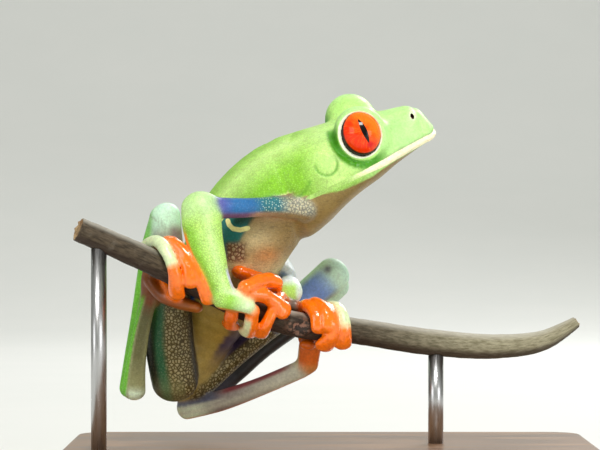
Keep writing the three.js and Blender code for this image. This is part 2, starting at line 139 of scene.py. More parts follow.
# Rows of a limb: x, y, z of its axis, half width as seen from the right, half depth.
# The trunk's rows add the roll of the section about the axis, in degrees.
TRUNK = [
    (-21.9, 4.0, 9.0, 1.9, 2.2, 45),
    (-20.5, 4.4, 11.9, 3.2, 3.4, 42),
    (-18.1, 4.2, 17.9, 4.9, 5.0, 33),
    (-15.8, 3.4, 23.8, 6.4, 7.2, 22),
    (-13.6, 2.4, 29.6, 7.3, 8.5, 12),
    (-9.6, 2.0, 35.3, 7.3, 8.6, 5),
    (-4.8, 2.0, 39.0, 6.8, 8.5, -3),
    (-2.2, 2.0, 40.2, 5.6, 8.2, -10),
]
LIMBS = {
    "right_upper_arm": [
        (-3.8, -5.6, 34.8, 1.7, 1.5),
        (-7.2, -6.6, 35.1, 1.4, 1.4),
        (-12.9, -9.2, 34.9, 1.4, 1.35),
        (-18.2, -10.6, 34.9, 1.6, 1.5),
    ],
    "right_forearm": [
        (-18.6, -10.8, 35.0, 2.55, 1.8),
        (-18.3, -11.2, 33.2, 2.8, 1.9),
        (-17.8, -11.5, 30.4, 2.6, 1.9),
        (-16.9, -11.7, 27.6, 2.2, 1.7),
        (-16.1, -11.7, 25.2, 1.8, 1.5),
        (-15.4, -11.7, 23.4, 1.7, 1.4),
    ],
    "right_hand": [
        (-15.2, -11.8, 22.2, 1.6, 1.3),
        (-13.4, -11.8, 21.8, 1.5, 1.3),
        (-11.8, -11.6, 21.1, 1.1, 1.1),
    ],
    "left_upper_arm": [
        (-4.7, 9.0, 36.8, 1.5, 1.5),
        (-8.1, 12.0, 34.4, 1.4, 1.4),
        (-11.9, 14.5, 30.9, 1.5, 1.5),
    ],
    "left_forearm": [
        (-11.9, 14.5, 30.6, 1.8, 1.8),
        (-9.1, 9.5, 27.9, 2.3, 2.0),
        (-6.4, 3.0, 25.1, 1.5, 1.5),
    ],
    "left_hand": [
        (-6.0, 0.4, 23.7, 1.6, 1.4),
        (-6.0, -1.2, 22.8, 1.95, 1.5),
        (-6.5, -2.6, 22.0, 1.3, 1.2),
    ],
    "right_thigh": [
        (-22.5, 0.0, 9.9, 3.35, 2.6),
        (-23.2, -1.0, 15.2, 3.5, 2.7),
        (-23.1, -2.4, 21.7, 3.0, 2.6),
        (-23.2, -3.4, 28.2, 2.2, 2.2),
        (-23.5, -3.4, 33.8, 1.95, 1.9),
    ],
    "right_shank": [
        (-24.4, -2.6, 33.4, 1.6, 1.6),
        (-25.6, -1.8, 29.5, 1.6, 1.7),
        (-26.5, -0.8, 24.6, 1.5, 1.8),
        (-27.4, -0.2, 19.1, 1.45, 1.7),
        (-28.3, 0.2, 14.1, 1.4, 1.6),
        (-29.2, 0.4, 8.9, 1.35, 1.4),
    ],
    "right_tarsus": [
        (-28.3, -2.2, 8.7, 1.7, 1.2),
        (-28.0, -3.2, 12.0, 1.45, 1.1),
        (-27.1, -4.2, 17.5, 1.2, 1.0),
        (-26.0, -5.0, 21.6, 1.1, 1.0),
    ],
    "right_foot": [
        (-25.7, -4.8, 22.1, 1.4, 1.0),
        (-25.3, -6.4, 24.7, 1.75, 1.0),
        (-24.4, -8.0, 27.8, 1.7, 0.9),
    ],
    "left_thigh": [
        (-19.6, 5.0, 8.6, 2.1, 2.3),
        (-14.4, 6.5, 13.1, 1.8, 2.2),
        (-8.1, 8.5, 18.2, 1.9, 2.1),
        (-3.2, 10.0, 22.1, 2.3, 2.1),
        (0.5, 10.6, 25.1, 2.6, 2.0),
    ],
    "left_shank": [
        (1.1, 13.0, 23.5, 1.9, 1.6),
        (-3.2, 12.6, 19.2, 1.6, 1.6),
        (-10.1, 11.0, 14.0, 1.45, 1.5),
        (-15.5, 9.0, 9.7, 1.7, 1.3),
        (-20.6, 7.2, 6.4, 1.4, 1.2),
    ],
    "left_tarsus": [
        (-21.0, 4.6, 5.7, 1.65, 1.2),
        (-16.2, 3.8, 6.8, 1.55, 1.1),
        (-9.9, 2.2, 9.1, 1.35, 1.0),
        (-4.3, 0.8, 11.6, 1.35, 1.0),
    ],
    "left_foot": [
        (-3.3, 0.4, 12.3, 1.55, 1.1),
        (-2.9, -0.6, 15.2, 1.65, 1.1),
        (-2.1, -1.4, 18.5, 1.9, 1.0),
        (-1.6, -2.4, 20.2, 1.9, 0.9),
    ],
}

# Digits, from the first (inner) one: a size, then steps of (x along the perch, degrees round it,
# lift of the digit's axis off the bark). 0 degrees is the top of the perch, 90 its side away from
# the body.
DIGIT_RADIUS = 0.9
DISC_RADIUS = 1.25
DISC_DEPTH = 0.8
DISC_SHARE = (0.72, 0.95)  # where along a digit its disc begins and is full
KNUCKLE_SWELL, KNUCKLE_SPACING = 0.05, 0.36
TRUNK_STATIONS, LIMB_STATIONS, PERCH_STATIONS, DIGIT_ROWS = 22, 13, 45, 9
DIGITS = {
    "right_finger": [
        (1.1, (-14.2, 100, 1.2), (-13.6, 140, 1.1), (-13.1, 172, 1.1)),
        (1.25, (-14.0, 54, 2.9), (-12.6, 34, 3.2), (-11.3, 20, 3.3), (-10.1, 8, 3.3)),
        (1.2, (-13.4, 62, 2.2), (-11.5, 49, 2.3), (-9.6, 48, 1.7), (-7.8, 57, 1.1)),
        (1.15, (-11.9, 88, 1.8), (-11.2, 125, 1.3), (-10.9, 150, 1.1), (-10.8, 175, 1.1)),
    ],
    "left_finger": [
        (1.15, (-8.7, -33, 3.4), (-11.3, -24, 3.1), (-12.9, -22, 2.9), (-14.6, -21, 2.7)),
        (0.95, (-7.4, -30, 1.6), (-8.6, 20, 1.2), (-9.2, 70, 1.0), (-9.4, 115, 1.0), (-9.5, 152, 1.0)),
        (1.0, (-6.4, -40, 1.4), (-6.7, -75, 1.1), (-7.2, -108, 1.0)),
        (1.0, (-5.2, -40, 1.4), (-5.0, -75, 1.1), (-5.1, -106, 1.0)),
    ],
    "right_toe": [
        (1.05, (-23.8, 232, 2.4), (-22.4, 208, 2.2), (-20.9, 192, 1.9), (-19.4, 184, 1.5), (-17.8, 178, 1.1)),
        (0.95, (-24.0, -75, 1.4), (-22.6, -115, 1.1), (-21.4, -160, 1.0), (-20.8, -185, 1.0)),
        (1.0, (-24.8, -55, 1.4), (-23.8, 0, 1.1), (-21.6, 52, 1.0), (-20.2, 88, 1.0)),
        (1.0, (-24.6, -50, 2.0), (-24.0, 0, 1.9), (-21.0, 45, 1.5), (-19.2, 73, 1.2), (-17.3, 108, 1.0)),
        (1.0, (-26.4, -70, 1.4), (-25.6, 0, 1.1), (-24.0, 50, 1.0), (-22.4, 92, 1.0), (-20.9, 148, 1.0)),
    ],
    "left_toe": [
        (1.0, (-3.0, -110, 1.8), (-2.8, -132, 1.3), (-2.7, -155, 1.0)),
        (1.05, (-4.0, -60, 1.3), (-3.9, 0, 1.1), (-3.0, 45, 1.0), (-2.3, 84, 1.0)),
        (1.1, (-2.9, -60, 1.5), (-2.7, 0, 1.5), (-1.8, 40, 1.7), (-1.1, 80, 1.7)),
        (1.15, (-1.9, -60, 1.3), (-1.7, 0, 1.2), (-0.6, 60, 1.2), (-0.6, 105, 1.2), (-1.1, 143, 1.1)),
        (1.1, (-0.8, -60, 1.3), (0.0, -5, 1.2), (1.0, 55, 1.1), (1.2, 92, 1.1), (1.3, 128, 1.1)),
    ],
}


class Limb:
    """A body with round ends and oval sections, as stations along its axis."""

    def __init__(self, name, rows, stations):
        self.name = name
        rows = np.array([tuple(row)[:5] + (OUTWARD if len(row) < 8 else tuple(row)[5:]) for row in rows])
        along = distances(rows[:, :3])
        place = smooth(along, rows)
        where = np.linspace(0, along[-1], stations)
        nudge = along[-1] * 1e-3
        at = place(where)
        tangent = unit(place(where + nudge)[:, :3] - place(where - nudge)[:, :3])
        front = at[:, 5:]
        self.front = unit(front - tangent * (front * tangent).sum(1)[:, None])
        self.side = np.cross(self.front, tangent)
        self.centre = at[:, :3] + (0, 0, HANG)
        self.wide = at[:, 3]
        self.deep = at[:, 4]
        self.ball = (self.wide + self.deep) / 2

    def measure(self, x, y, z):
        """Distance to the surface, the share of the length, and the place across and in front."""
        best = None
        for i in range(len(self.centre) - 1):
            start = self.centre[i]
            chord = self.centre[i + 1] - start
            length = math.sqrt(chord @ chord)
            dx, dy, dz = x - start[0], y - start[1], z - start[2]

            def along(v):
                return dx * np.float32(v[0]) + dy * np.float32(v[1]) + dz * np.float32(v[2])

            reach = along(chord / length)
            t = np.clip(reach / length, 0, 1)

            def turned(axes):
                low = along(axes[i]) - t * (chord @ axes[i])
                turn = axes[i + 1] - axes[i]
                return low + t * (along(turn) - t * (chord @ turn))

            def between(sizes):
                return sizes[i] + t * (sizes[i + 1] - sizes[i])

            across = turned(self.side)
            fore = turned(self.front)
            past = reach - t * length
            span = np.sqrt(across**2 + fore**2 + past**2)
            across = across / between(self.wide)
            fore = fore / between(self.deep)
            ratio = np.sqrt(across**2 + fore**2 + (past / between(self.ball)) ** 2) + 1e-6
            gap = span * (1 - 1 / ratio) - (span < 1e-6) * between(self.ball)
            share = (i + t) / (len(self.centre) - 1)
            if best is None:
                best = [gap, share, across, fore]
            else:
                near = gap < best[0]
                best = [np.where(near, new, old) for new, old in zip((gap, share, across, fore), best)]
        return best

    def box(self, margin):
        reach = max(self.wide.max(), self.deep.max()) + margin
        return self.centre.min(0) - reach, self.centre.max(0) + reach


def trunk_rows():
    """The trunk's rows with each section's roll turned into the way its depth faces."""
    spine = unit(np.subtract(TRUNK[-1][:3], TRUNK[0][:3]))
    rows = []
    for *row, roll in TRUNK:
        turn = math.radians(roll)
        out = np.array(OUTWARD)
        facing = out * math.cos(turn) + np.cross(spine, out) * math.sin(turn)
        facing = facing + spine * (spine @ out) * (1 - math.cos(turn))
        rows.append(tuple(row) + tuple(facing))
    return rows


def digit_rows(size, *steps):
    """An even shaft with two knuckles that flattens and widens into the disc at its tip."""
    place = smooth(range(len(steps)), steps)
    rows = []
    for t in np.linspace(0, 1, DIGIT_ROWS):
        point, out = around(*place(t * (len(steps) - 1))[0])
        disc = ease(t, *DISC_SHARE)
        wide = DIGIT_RADIUS + (DISC_RADIUS - DIGIT_RADIUS) * disc
        deep = DIGIT_RADIUS + (DISC_DEPTH - DIGIT_RADIUS) * disc
        knuckle = 1 + KNUCKLE_SWELL * math.cos(2 * math.pi * t / KNUCKLE_SPACING) * (1 - disc)
        rows.append(tuple(point) + (size * wide * knuckle, size * deep * knuckle) + tuple(out))
    return rows


def all_limbs():
    """Every body of flesh but the head, by name."""
    limbs = {"trunk": Limb("trunk", trunk_rows(), TRUNK_STATIONS)}
    for name, rows in LIMBS.items():
        limbs[name] = Limb(name, rows, LIMB_STATIONS)
    for kind, digits in DIGITS.items():
        for i, digit in enumerate(digits):
            name = f"{kind}_{i + 1}"
            limbs[name] = Limb(name, digit_rows(*digit), LIMB_STATIONS)
    return limbs


# ---------------------------------------------------------------- head

# Half sizes along f, l and u of the head's frame, and the eye's centre there.
EYE_HALF = np.array([3.1, 3.4, 3.5])
EYE_AT = np.array([-10.9, 5.7, 3.75])
LID_HALF = np.array([3.85, 4.05, 4.07])
LID_OPENING = 1.5  # how far out of the eye's centre the lids end
LID_TURN = (2, 10)  # degrees of that plane forward and up
RIM_HALF = (3.12, 3.5)  # the lid margin's ring
RIM_TUBE = 0.3
LID_GROOVE = (4.15, 4.4)  # the ring that the groove round the lids follows
LID_WRINKLES = 30
NOSTRIL_HALF = (0.23, 0.95, 0.38)
IRIS_TURN = (10, 17)  # degrees that the iris looks forward and up

# The head's own frame: f runs forward from the snout tip, l to the frog's left, u up.
SNOUT = np.array([15.07, 1.9, 46.45 + HANG])
HEAD_ROLL, HEAD_PITCH, HEAD_YAW = (math.radians(angle) for angle in (12, -18, 2))
# f, half width, top, widest height (the mouth line), bottom.
HEAD = [
    (-0.5, 2.2, 1.6, -0.2, -0.9),
    (-2, 4.0, 3.7, -0.25, -1.2),
    (-4, 5.2, 4.3, -0.35, -1.7),
    (-7, 6.9, 4.8, -0.55, -2.6),
    (-10, 8.2, 5.2, -0.95, -3.8),
    (-13, 9.0, 5.5, -1.25, -4.8),
    (-16, 9.2, 5.6, -1.6, -6.3),
    (-19, 8.9, 5.4, -2.0, -8.0),
    (-22, 8.3, 4.9, -2.4, -9.0),
]
SQUARENESS = 2 / 0.85
head_profile = smooth([-row[0] for row in HEAD], [row[1:] for row in HEAD])
MOUTH_RISE = 0.38  # the mouth's slit lies this far over the widest height
LIP_BAND = (0.65, 0.98)  # height of the cream lip behind and in front
LID_MARGIN = (-0.12, 0.16)  # how far past the rim's crest the lid's pale margin runs, in front and behind
# Where the green under the jaw ends: f and u.
JAW_GREEN = [
    (-21, -1.7), (-19, -2.05), (-16, -2.45), (-13, -2.25),
    (-11, -2.1), (-9.4, -1.6), (-7, -1.2), (0, -0.8),
]
NOSTRIL = np.array([-2.76, 2.95, 3.36])
EARDRUM = np.array([-16.9, 9.0, 1.67])
EARDRUM_RADIUS = 1.55


def rotation(axis, angle):
    matrix = np.eye(3)
    one, two = [(1, 2), (2, 0), (0, 1)][axis]
    matrix[one, one] = matrix[two, two] = math.cos(angle)
    matrix[one, two] = -math.sin(angle)
    matrix[two, one] = math.sin(angle)
    return matrix


HEAD_FRAME = rotation(2, HEAD_YAW) @ rotation(1, HEAD_PITCH) @ rotation(0, HEAD_ROLL)


def head_local(x, y, z):
    """Places in the head's frame: f, l and u."""
    dx, dy, dz = x - SNOUT[0], y - SNOUT[1], z - SNOUT[2]
    return [dx * axis[0] + dy * axis[1] + dz * axis[2] for axis in HEAD_FRAME.T.astype(np.float32)]


def oval(f, l, u, centre, half):
    """Rough distance to an oval."""
    a, b, c = f - centre[0], l - centre[1], u - centre[2]
    span = np.sqrt(a**2 + b**2 + c**2)
    ratio = np.sqrt((a / half[0]) ** 2 + (b / half[1]) ** 2 + (c / half[2]) ** 2) + 1e-6
    return span * (1 - 1 / ratio)


def join(a, b, k, swell=1.0):
    """The union of two fields with a fillet of about k; a smaller swell adds less where they run along."""
    h = np.clip(0.5 + 0.5 * (b - a) / k, 0, 1)
    return b + (a - b) * h - swell * k * h * (1 - h)


def carve(a, b, k):
    """What is left of a when b is cut away, with an edge rounded by about k."""
    return -join(-a, b, k)


def hump(value, width):
    return np.exp(-((value / width) ** 2))


def turned_out(side, forward, up):
    """A direction out of one side of the head, turned forward and up by degrees."""
    forward, up = math.radians(forward), math.radians(up)
    return unit((math.sin(forward), side * math.cos(forward) * math.cos(up), math.sin(up)))


def eye_frame(side, forward, up):
    """The way out of an eye, and the forward and upward directions across it."""
    out = turned_out(side, forward, up)
    ahead = unit(np.array((1.0, 0, 0)) - out * out[0])
    return out, ahead, np.cross(out, ahead) * -side


def eye_centre(side):
    return EYE_AT * (1, side, 1)


def rim_places(f, l, u, side):
    """Places round an eye: forward and up across it, and how far out."""
    axes = eye_frame(side, *LID_TURN)
    centre = eye_centre(side)
    offset = (f - centre[0], l - centre[1], u - centre[2])
    out, ahead, up = (sum(o * np.float32(a) for o, a in zip(offset, axis)) for axis in axes)
    return ahead, up, out


def rear_low(ahead, up):
    """1 behind and below the eye, 0 in front and above."""
    return ease((-0.8 * ahead - 0.75 * up) / (np.sqrt(ahead**2 + up**2) + 1e-6), -0.25, 0.6)


def skull_field(f, l, u):
    tip, nape = 2.0, 22.0
    behind = np.clip(-f, tip, nape)
    table = np.linspace(tip, nape, 120)
    sizes = head_profile(table).T
    wide, top, mouth, bottom = (np.interp(behind, table, size).astype(np.float32) for size in sizes)
    v = u - mouth
    tall = np.where(v > 0, top - mouth, mouth - bottom)
    past = np.maximum(f + tip, 0) + np.maximum(-f - nape, 0)
    ratio = (np.abs(l) / wide) ** SQUARENESS + (np.abs(v) / tall) ** SQUARENESS + (past / tip) ** 2
    ratio = ratio ** (1 / SQUARENESS) + 1e-6
    return np.sqrt(l**2 + v**2 + past**2) * (1 - 1 / ratio)


def mouth_height(f):
    return np.interp(-f, [-row[0] for row in HEAD], [row[3] for row in HEAD]) + MOUTH_RISE


def past_ring(ahead, up, half):
    """How far places lie outside an oval ring round an eye."""
    across = np.sqrt(ahead**2 + up**2)
    return across * (1 - 1 / (np.hypot(ahead / half[0], up / half[1]) + 1e-6))


def with_mouth(body, f, u):
    """The mouth's slit, with the lower lip swelling under it and the upper lip over it."""
    below = mouth_height(f) - u
    on_jaw = ease(f, -15.5, -13.5)
    body = body + 0.26 * hump(below, 0.17) * on_jaw
    body = body - 0.1 * hump(below - 0.45, 0.35) * on_jaw
    return body - 0.06 * hump(below + 0.5, 0.4) * on_jaw


def with_snout(body, f, l, u):
    """The ridge from eye to nostril, the hollow cheek, the nostrils' mounds and the blunt tip."""
    body = body - 0.16 * hump(u - (3.35 - 0.12 * (f + 3)), 0.5) * ease(-f, 3.5, 5) * ease(f, -8.5, -7)
    body = body + 0.2 * hump(u - 1.9, 1.1) * ease(-f, 3, 5) * ease(f, -8, -6.5)
    mound = np.sqrt((f + 3.3) ** 2 + (np.abs(l) - 1.9) ** 2 + (u - 4.1) ** 2)
    body = body - 0.32 * hump(mound, 1.7)
    tip = np.sqrt((f + 0.7) ** 2 + (0.5 * l) ** 2 + (u - 2.1) ** 2)
    return body + 0.42 * hump(tip, 1.3)


def with_eardrum(body, f, l, u):
    """The eardrum's sunk ring, deeper below, the rise round it and the fold over it."""
    drum = np.hypot(f - EARDRUM[0], u - EARDRUM[2])
    beside = ease(np.abs(l), 6, 8)
    lower_drum = 0.55 + 0.45 * ease(EARDRUM[2] - u, -0.5, 1)
    body = body + 0.17 * hump(drum - EARDRUM_RADIUS, 0.2) * beside * lower_drum
    body = body - 0.12 * hump(drum - EARDRUM_RADIUS - 0.4, 0.25) * beside
    fold = np.hypot(f - EARDRUM[0] + 0.6, u - EARDRUM[2] + 0.4)
    return body - 0.14 * hump(fold - 2.6, 0.4) * ease(u, 1.5, 3) * beside


def with_lids(body, f, l, u, side):
    """One eye's lids, the groove and wrinkles behind and below them, and the ring of their margin."""
    ahead, up, out = rim_places(f, l, u, side)
    low = rear_low(ahead, up)
    lids = oval(f, l, u, eye_centre(side), LID_HALF)
    body = join(body, lids, 1.5 - 1.0 * low)
    groove = past_ring(ahead, up, LID_GROOVE)
    outer = ease(out, -2.5, -0.5)
    body = body + 0.4 * hump(groove, 0.38) * low * outer
    wrinkles = np.sin(LID_WRINKLES * np.arctan2(up, ahead))
    body = body + 0.045 * wrinkles * low * hump(groove, 0.6) * outer
    window = np.maximum(LID_OPENING - out, np.sqrt(ahead**2 + up**2) - max(LID_HALF))
    body = carve(body, window, 0.3)
    margin = np.hypot(past_ring(ahead, up, RIM_HALF), out - LID_OPENING + 0.1) - RIM_TUBE
    return join(body, margin, 0.22)


def with_nostril(body, f, l, u, side):
    hole = oval(f, l, u, NOSTRIL * (1, side, 1), NOSTRIL_HALF)
    body = body - 0.12 * hump(np.maximum(hole, 0), 0.3)
    return carve(body, hole, 0.1)


def head_field(f, l, u):
    """The head with lids, lips, nostrils and eardrums, the eyes left open."""
    body = with_mouth(skull_field(f, l, u), f, u)
    body = with_snout(body, f, l, u)
    body = with_eardrum(body, f, l, u)
    for side in (-1, 1):
        body = with_lids(body, f, l, u, side)
        body = with_nostril(body, f, l, u, side)
    return body


def carve_eyes(body, f, l, u):
    """Hollows that the eyes fill, a little under their size so that no gap shows."""
    for side in (-1, 1):
        body = carve(body, oval(f, l, u, eye_centre(side), EYE_HALF - 0.05), 0.06)
    return body


def head_box(margin):
    local = np.array([(f, l, u) for f in (1, -25) for l in (-10, 10) for u in (-10, 9)])
    world = local @ HEAD_FRAME.T + SNOUT
    return world.min(0) - margin, world.max(0) + margin


# ---------------------------------------------------------------- skin

NECK_BLEND, NECK_SWELL = 2.4, 0.5
CREASE = 0.22  # fillet where one limb only lies against another
DIGIT_CREASE = 0.1
LIMB_ROOT, DIGIT_ROOT = 0.95, 0.4  # fillet at a limb's first end, over its radius there
FINE_STEP = 0.17  # of the grid through the head
COARSE_STEP = 0.24
HEAD_FROM_X, HEAD_FROM_Z = 0.5, 44.0  # where the fine part of the grid begins
GRID_MARGIN = 1.0
BLEND_REACH = 3.2  # how far outside a limb its field is still worked out
SKIN_FACES = 190000
EVENING = (0.5, -0.52)  # steps toward a point's neighbours and back, so that nothing shrinks


def grid_axis(low, high, fine_low, fine_high):
    """Places along one axis of the grid, closer together through the head."""
    parts = []
    for start, stop, step in (
        (low, fine_low, COARSE_STEP),
        (fine_low, fine_high, FINE_STEP),
        (fine_high, high, COARSE_STEP),
    ):
        if stop > start:
            parts.append(np.linspace(start, stop, max(int((stop - start) / step), 1), endpoint=False))
    return np.concatenate(parts + [[high]]).astype(np.float32)


class Grid:
    """A field sampled on a block of space: below 0 inside the body."""

    def __init__(self, axes):
        self.axes = axes
        self.values = np.full([len(axis) for axis in axes], 9.0, np.float32)

    def window(self, low, high):
        spans = [slice(*np.searchsorted(axis, (a, b))) for axis, a, b in zip(self.axes, low, high)]
        x, y, z = (axis[span] for axis, span in zip(self.axes, spans))
        return tuple(spans), x[:, None, None], y[None, :, None], z[None, None, :]


def skin_grid(limbs):
    """The field of the whole skin: limbs and head joined, the eyes and the perch cut out."""
    boxes = [limb.box(GRID_MARGIN) for limb in limbs.values()] + [head_box(0)]
    low = np.min([box[0] for box in boxes], axis=0)
    high = np.max([box[1] for box in boxes], axis=0)
    grid = Grid([
        grid_axis(low[0], high[0], HEAD_FROM_X, high[0]),
        grid_axis(low[1], high[1], low[1], low[1]),
        grid_axis(low[2], high[2], HEAD_FROM_Z, high[2]),
    ])
    for name, limb in limbs.items():
        spans, x, y, z = grid.window(*limb.box(BLEND_REACH))
        gap = limb.measure(x, y, z)[0]
        root = limb.centre[0]
        reach = 1.5 * limb.ball[0]
        near = np.exp(-((x - root[0]) ** 2 + (y - root[1]) ** 2 + (z - root[2]) ** 2) / reach**2)
        digit = name[-1].isdigit()
        crease, rooted = (DIGIT_CREASE, DIGIT_ROOT) if digit else (CREASE, LIMB_ROOT)
        fillet = crease + rooted * limb.ball[0] * near
        grid.values[spans] = join(grid.values[spans], gap, fillet)
        if name == "trunk":
            spans, x, y, z = grid.window(*head_box(BLEND_REACH))
            head = head_field(*head_local(x, y, z))
            grid.values[spans] = join(grid.values[spans], head, NECK_BLEND, NECK_SWELL)
    spans, x, y, z = grid.window(*head_box(BLEND_REACH))
    grid.values[spans] = carve_eyes(grid.values[spans], *head_local(x, y, z))
    bark = perch_limb()
    spans, x, y, z = grid.window(*bark.box(GRID_MARGIN))
    grid.values[spans] = carve(grid.values[spans], bark.measure(x, y, z)[0], 0.1)
    return grid


def perch_limb():
    x = np.linspace(PERCH[0][0], PERCH[-1][0], 30)
    rows = perch_line(x)
    return Limb("perch", [(*row[:3], row[3], row[3]) for row in rows], PERCH_STATIONS)


def surface(grid):
    """Points and four-sided faces of the surface where the field is 0."""
    values = grid.values
    inside = values < 0
    cells = [size - 1 for size in values.shape]

    def cell(i, j, k):
        return (i * cells[1] + j) * cells[2] + k

    places, owners, faces = [], [], []
    for axis in range(3):
        lower = [slice(None)] * 3
        upper = [slice(None)] * 3
        lower[axis], upper[axis] = slice(None, -1), slice(1, None)
        lower, upper = tuple(lower), tuple(upper)
        index = np.array(np.nonzero(inside[lower] != inside[upper]))
        keep = np.all([(index[a] > 0) & (index[a] < cells[a]) for a in range(3) if a != axis], axis=0)
        index = index[:, keep]
        start = values[lower][tuple(index)]
        stop = values[upper][tuple(index)]
        t = start / (start - stop)
        place = np.array([grid.axes[a][index[a]] for a in range(3)])
        place[axis] += t * (grid.axes[axis][index[axis] + 1] - grid.axes[axis][index[axis]])
        one, two = (axis + 1) % 3, (axis + 2) % 3
        corners = []
        for step_one, step_two in ((1, 1), (0, 1), (0, 0), (1, 0)):
            at = index.copy()
            at[one] -= step_one
            at[two] -= step_two
            corners.append(cell(*at))
        corners = np.array(corners)
        places.append(np.tile(place, 4))
        owners.append(corners.ravel())
        faces.append(np.where(start < 0, corners, corners[::-1]).T)
    owners = np.concatenate(owners)
    places = np.concatenate(places, axis=1)
    faces = np.concatenate(faces)
    used, owner = np.unique(owners, return_inverse=True)
    count = np.bincount(owner)
    points = np.array([np.bincount(owner, weights=row) / count for row in places]).T
    return points, np.searchsorted(used, faces)


def largest_part(points, faces):
    """The biggest connected part of a surface, with loose scraps left out."""
    label = np.arange(len(points))
    while True:
        low = label[faces].min(1)
        new = label.copy()
        for corner in range(faces.shape[1]):
            np.minimum.at(new, faces[:, corner], low)
        new = new[new]
        if np.array_equal(new, label):
            break
        label = new
    biggest = np.bincount(label).argmax()
    keep = label == biggest
    faces = faces[keep[faces[:, 0]]]
    order = np.cumsum(keep) - 1
    return points[keep], order[faces]


def relax(points, faces, passes):
    """Even out a surface's points a little, without shrinking it."""
    one = faces.ravel()
    two = np.roll(faces, -1, axis=1).ravel()
    count = np.bincount(one, minlength=len(points)) + np.bincount(two, minlength=len(points))
    for step in passes:
        total = np.zeros_like(points)
        for axis in range(3):
            total[:, axis] = np.bincount(one, weights=points[two, axis], minlength=len(points))
            total[:, axis] += np.bincount(two, weights=points[one, axis], minlength=len(points))
        points = points + step * (total / count[:, None] - points)
    return points


def mesh_of(name, points, faces):
    """A smooth mesh object at the origin from points in millimetres."""
    mesh = bpy.data.meshes.new(name)
    mesh.from_pydata((np.asarray(points) * METRES).tolist(), [], [list(map(int, face)) for face in faces])
    mesh.update()
    smooth_faces(mesh)
    piece = bpy.data.objects.new(name, mesh)
    bpy.context.scene.collection.objects.link(piece)
    return piece


def smooth_faces(mesh, corners=None):
    """Shade every face smooth, or only those with so many corners."""
    for polygon in mesh.polygons:
        polygon.use_smooth = corners is None or len(polygon.vertices) == corners


def band(first, second, count):
    """Four-sided faces between two rings of points, told by where each ring starts."""
    return [(first + s, first + (s + 1) % count, second + (s + 1) % count, second + s) for s in range(count)]


def fan(ring, tip, count):
    """Faces from a ring of points to its tip."""
    return [(ring + s, ring + (s + 1) % count, tip) for s in range(count)]


def turned_over(faces):
    return [face[::-1] for face in faces]


def thinned(piece, triangles, kept):
    """Fewer faces where the surface is flat, but none fewer at the points that are kept."""
    count = sum(len(polygon.vertices) - 2 for polygon in piece.data.polygons)
    thin = piece.modifiers.new("thin", "DECIMATE")
    thin.ratio = min(1.0, triangles / count)
    piece.vertex_groups.new(name="free").add(np.flatnonzero(~kept).tolist(), 1.0, "REPLACE")
    thin.vertex_group = "free"
    evaluated = piece.evaluated_get(bpy.context.evaluated_depsgraph_get())
    mesh = bpy.data.meshes.new_from_object(evaluated)
    piece.modifiers.clear()
    piece.data = mesh
    smooth_faces(mesh)
    return piece


def points_of(mesh):
    flat = np.empty(len(mesh.vertices) * 3, np.float32)
    mesh.vertices.foreach_get("co", flat)
    return flat.reshape(-1, 3) / METRES


def number_attribute(mesh, name, values):
    layer = mesh.attributes.new(name, "FLOAT", "POINT")
    layer.data.foreach_set("value", np.asarray(values, np.float32))


def vector_attribute(mesh, name, values):
    layer = mesh.attributes.new(name, "FLOAT_VECTOR", "POINT")
    layer.data.foreach_set("vector", np.asarray(values, np.float32).ravel())


def colour_attribute(mesh, name, values):
    layer = mesh.attributes.new(name, "FLOAT_COLOR", "POINT")
    full = np.concatenate([values, np.ones((len(values), 1))], axis=1)
    layer.data.foreach_set("color", full.astype(np.float32).ravel())


# ---------------------------------------------------------------- coats of colour

def linear(colour):
    """A colour of 0 to 255 a channel as linear light."""
    share = np.array(colour, float) / 255
    return np.where(share <= 0.04045, share / 12.92, ((share + 0.055) / 1.055) ** 2.4)


def coat(colour, fine=0.0, coarse=0.0, crease=0.0, speck=0.0, wet=0.0):
    """A colour with its fine and coarse grain, creases, how pale the coarse grains are, and wetness."""
    return np.concatenate([linear(colour), (fine, coarse, crease, speck, wet)])


